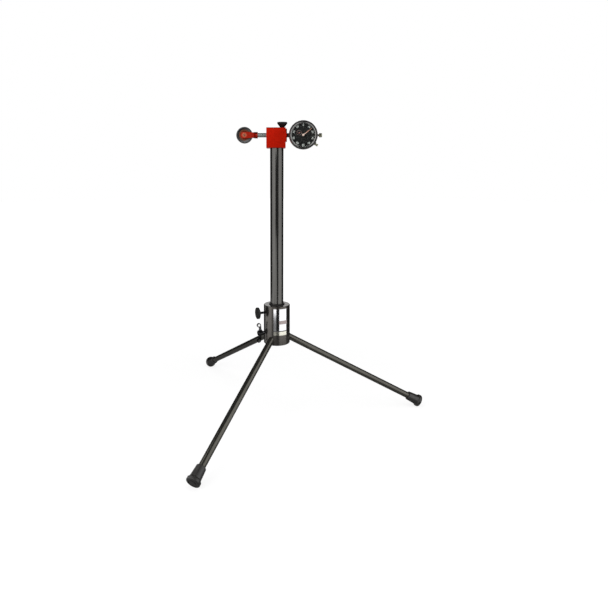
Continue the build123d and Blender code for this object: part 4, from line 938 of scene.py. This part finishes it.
class GAUGE_OT_clamps(bpy.types.Operator):
    """Knobs, wing screw, studs and small fasteners, with a thread on the upper stud"""

    bl_idname = "gauge.clamps"
    bl_label = "Clamping screws"

    def execute(self, context):
        settings = context.scene.gauge_stand
        plastic = moulded_plastic("knob_plastic", settings.plastic_colour)
        wear("upper_clamp_knob", "dial_clamp_knob", finish=plastic)
        oxide = ground_metal("black_oxide", colour=(0.05, 0.05, 0.052), roughness=0.35)
        wear("dial_clamp_stud", "post_set_screw", "axle_clip", finish=oxide)
        wear("wing_screw", finish=rubbed_plating(settings))
        self.stud(settings, oxide)
        return {"FINISHED"}

    def stud(self, settings, finish):
        """Threaded stud between the upper knob and the post."""
        joint = next(joint for joint in frame["joints"] if joint["child"] == "upper_clamp")
        out, start = Vector(joint["axis"]), Vector(joint["pos_m"])
        steps = [vertex.co - start for vertex in frame["nodes"]["upper_clamp_stud"].data.vertices]
        reach = [step.dot(out) for step in steps]
        radius = max((step - out * step.dot(out)).length for step in steps)
        tip, end, depth = min(reach), max(reach), settings.thread_depth
        mesh = thread(radius, depth, settings.thread_pitch, start=tip + settings.bare_tip, end=end)
        core_depth, tip_depth = depth * 0.9, depth * 2
        join(mesh, core(radius - core_depth, radius - tip_depth, tip, shoulder=tip + depth, end=end))
        bmesh.ops.recalc_face_normals(mesh, faces=mesh.faces)
        turn = out.to_track_quat("Z", "X").to_matrix().to_4x4()
        bmesh.ops.transform(mesh, matrix=Matrix.Translation(start) @ turn, verts=mesh.verts)
        stud = piece("upper_clamp_thread", mesh, "upper_clamp", finish)
        stud.data.shade_smooth()
        stud.data.set_sharp_from_angle(angle=SHARP_ANGLE)
        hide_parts("upper_clamp_stud")


class GAUGE_OT_head(bpy.types.Operator):
    """Red block, collar, fork, push rod and roller"""

    bl_idname = "gauge.head"
    bl_label = "Head and roller"

    def execute(self, context):
        settings = context.scene.gauge_head
        red = red_anodised("red_anodised", settings.red, settings, stretch=(30, 1, 1))
        wear("head_block", "stem_collar", finish=red)
        red = red_anodised("red_fork", settings.fork_red, settings, stretch=(12, 1, 1), painted_highlight_at=PIN_FACE)
        wear("fork", finish=red)
        steel = ground_metal("ground_steel", colour=(0.38, 0.41, 0.39), roughness=0.16, stretch=(40, 1, 1))
        wear("push_rod", "spindle", finish=steel)
        # The axle pin's steel is tinted copper: a painted reflection of the red fork, which gives it a
        # salmon highlight.
        pin = turned_metal("turned_steel", colour=(0.3, 0.13, 0.08), roughness=0.34, centre=ROLLER_CENTRE)
        wear("axle_pin", finish=pin)
        bronze = ground_metal("bronze", colour=(0.5, 0.3, 0.12), roughness=0.3)
        wear("rod_bush", "roller_bush", "end_bush", finish=bronze)
        wheel = turned_metal("wheel_metal", settings.wheel_colour, roughness=0.28, centre=ROLLER_CENTRE)
        wear("roller_wheel", finish=wheel)
        tyre = rubber("tyre_rubber", settings.tyre_colour, roughness=0.3, dish=settings.tyre_dish)
        tyre.set(Specular_IOR_Level=1.0)
        wear("roller_tyre", finish=tyre)
        return {"FINISHED"}


class GAUGE_OT_indicator(bpy.types.Operator):
    """Case, cover, bezel, crystal, stem and small screws of the indicator"""

    bl_idname = "gauge.indicator"
    bl_label = "Indicator"

    def execute(self, context):
        settings = context.scene.gauge_dial
        case = turned_metal(
            "case_metal", settings.case_colour, roughness=0.36, centre=DIAL_CENTRE, pitch=0.0004
        )
        wear("dial_case", "back_cover", "dial_stem", finish=case)
        bezel = turned_metal("bezel_metal", settings.bezel_colour, roughness=0.22, centre=DIAL_CENTRE)
        wear("bezel", finish=bezel)
        wear("crystal", finish=clear_crystal())
        small = ground_metal("small_metal", colour=(0.46, 0.46, 0.33), roughness=0.3)
        wear("spindle_knob", "bezel_clip", "bezel_clip_screw", "cover_screws", finish=small)
        return {"FINISHED"}


class GAUGE_OT_dial(bpy.types.Operator):
    """Black dial with its marks, numerals and small counter, and the painted hands"""

    bl_idname = "gauge.dial"
    bl_label = "Dial and hands"

    def execute(self, context):
        settings = context.scene.gauge_dial
        wear("outer_scale", "inner_dial", finish=dial_black())
        white = printed("white_ink", settings.white)
        salmon = printed("salmon_ink", settings.counter_ink, roughness=0.42)
        wear("main_hand", finish=hand_paint("hand_paint", settings.salmon, "main_hand", DIAL_CENTRE))
        wear("counter_hand", finish=salmon)
        steel = ground_metal("arbor_steel", colour=(0.6, 0.5, 0.42), roughness=0.25)
        wear("centre_arbor", "counter_arbor", finish=steel)
        self.scale(settings, white)
        self.numerals(settings, white)
        self.counter(settings, white, salmon)
        return {"FINISHED"}

    def scale(self, settings, ink):
        """Short marks all round, a long one at each numeral, and a thin line round them."""
        inner, outer, film = settings.tick_inner, settings.tick_outer, settings.ink_thickness
        mesh = ring_of(tick(settings.tick_width, inner, outer, film), settings.ticks)
        long_width = settings.tick_width * settings.long_wider
        join(mesh, ring_of(tick(long_width, settings.long_inner, inner, film), len(NUMERALS)))
        join(mesh, flat_ring(outer, outer + settings.rim_line, film, steps=96))
        on_dial(mesh, SCALE_FACE, DIAL_CENTRE)
        piece("scale_marks", mesh, "bezel_ring", ink)

    def numerals(self, settings, ink):
        """0 to 90, each turned with its place on the scale."""
        whole = bmesh.new()
        for number in NUMERALS:
            mesh = numeral(str(number), settings.numeral_height, settings.ink_thickness)
            bmesh.ops.translate(mesh, vec=(0, settings.numeral_radius, 0), verts=mesh.verts)
            turn = Matrix.Rotation(-FULL_TURN * number / PARTS, 3, "Z")
            bmesh.ops.rotate(mesh, cent=(0, 0, 0), matrix=turn, verts=mesh.verts)
            join(whole, mesh)
        on_dial(whole, SCALE_FACE, DIAL_CENTRE)
        piece("scale_numerals", whole, "bezel_ring", ink)

    def counter(self, settings, white, salmon):
        """Ten small marks round the counter's arbor, and a ring round them in the hand's colour."""
        width, inner, outer = settings.counter_width, settings.counter_inner, settings.counter_outer
        mesh = ring_of(tick(width, inner, outer, settings.ink_thickness), count=10)
        on_dial(mesh, CARD_FACE, COUNTER_CENTRE)
        piece("counter_marks", mesh, "dial", white)
        mesh = flat_ring(settings.ring_inner, settings.ring_outer, settings.ink_thickness, steps=64)
        on_dial(mesh, CARD_FACE, COUNTER_CENTRE)
        piece("counter_ring", mesh, "dial", salmon)


class GAUGE_OT_movement(bpy.types.Operator):
    """Wheels, pinions and bridges inside the case"""

    bl_idname = "gauge.movement"
    bl_label = "Movement"

    def execute(self, context):
        brass = ground_metal("movement_brass", colour=(0.62, 0.43, 0.16), roughness=0.25)
        wear("train_wheel", "counter_wheel", "front_bridge", "rear_bridge", "spindle_guide", finish=brass)
        steel = ground_metal("movement_steel", colour=(0.5, 0.5, 0.5), roughness=0.22)
        wear("rack_arbor", "rack_pinion", "centre_pinion", "counter_pinion", finish=steel)
        wear("spindle_key", "snap_ring", finish=steel)
        return {"FINISHED"}


class GAUGE_PT_panel(bpy.types.Panel):
    """Sizes, colours and pieces of the gauge"""

    bl_idname = "GAUGE_PT_panel"
    bl_label = "Runout gauge"
    bl_space_type = "VIEW_3D"
    bl_region_type = "UI"
    bl_category = "Gauge"

    def draw(self, context):
        for group in GROUPS:
            settings = getattr(context.scene, group)
            box = self.layout.box()
            for name in type(settings).__annotations__:
                box.prop(settings, name)
        for operator in OPERATORS:
            self.layout.operator(operator.bl_idname)


GROUPS = {
    "gauge_stage": GaugeStage,
    "gauge_stand": GaugeStand,
    "gauge_head": GaugeHead,
    "gauge_dial": GaugeDial,
}
OPERATORS = (
    GAUGE_OT_stage,
    GAUGE_OT_stand,
    GAUGE_OT_label,
    GAUGE_OT_clamps,
    GAUGE_OT_head,
    GAUGE_OT_indicator,
    GAUGE_OT_dial,
    GAUGE_OT_movement,
)


def register():
    """Registers the groups of settings, the operators and the panel."""
    for item in (*GROUPS.values(), *OPERATORS, GAUGE_PT_panel):
        bpy.utils.register_class(item)
    for name, group in GROUPS.items():
        setattr(bpy.types.Scene, name, PointerProperty(type=group))


def unregister():
    """Takes back what register does."""
    for name in GROUPS:
        delattr(bpy.types.Scene, name)
    for item in (GAUGE_PT_panel, *reversed(OPERATORS), *reversed(GROUPS.values())):
        bpy.utils.unregister_class(item)


def main():
    register()
    for operator in OPERATORS:
        group, name = operator.bl_idname.split(".")
        getattr(getattr(bpy.ops, group), name)()


if __name__ == "__main__":
    main()
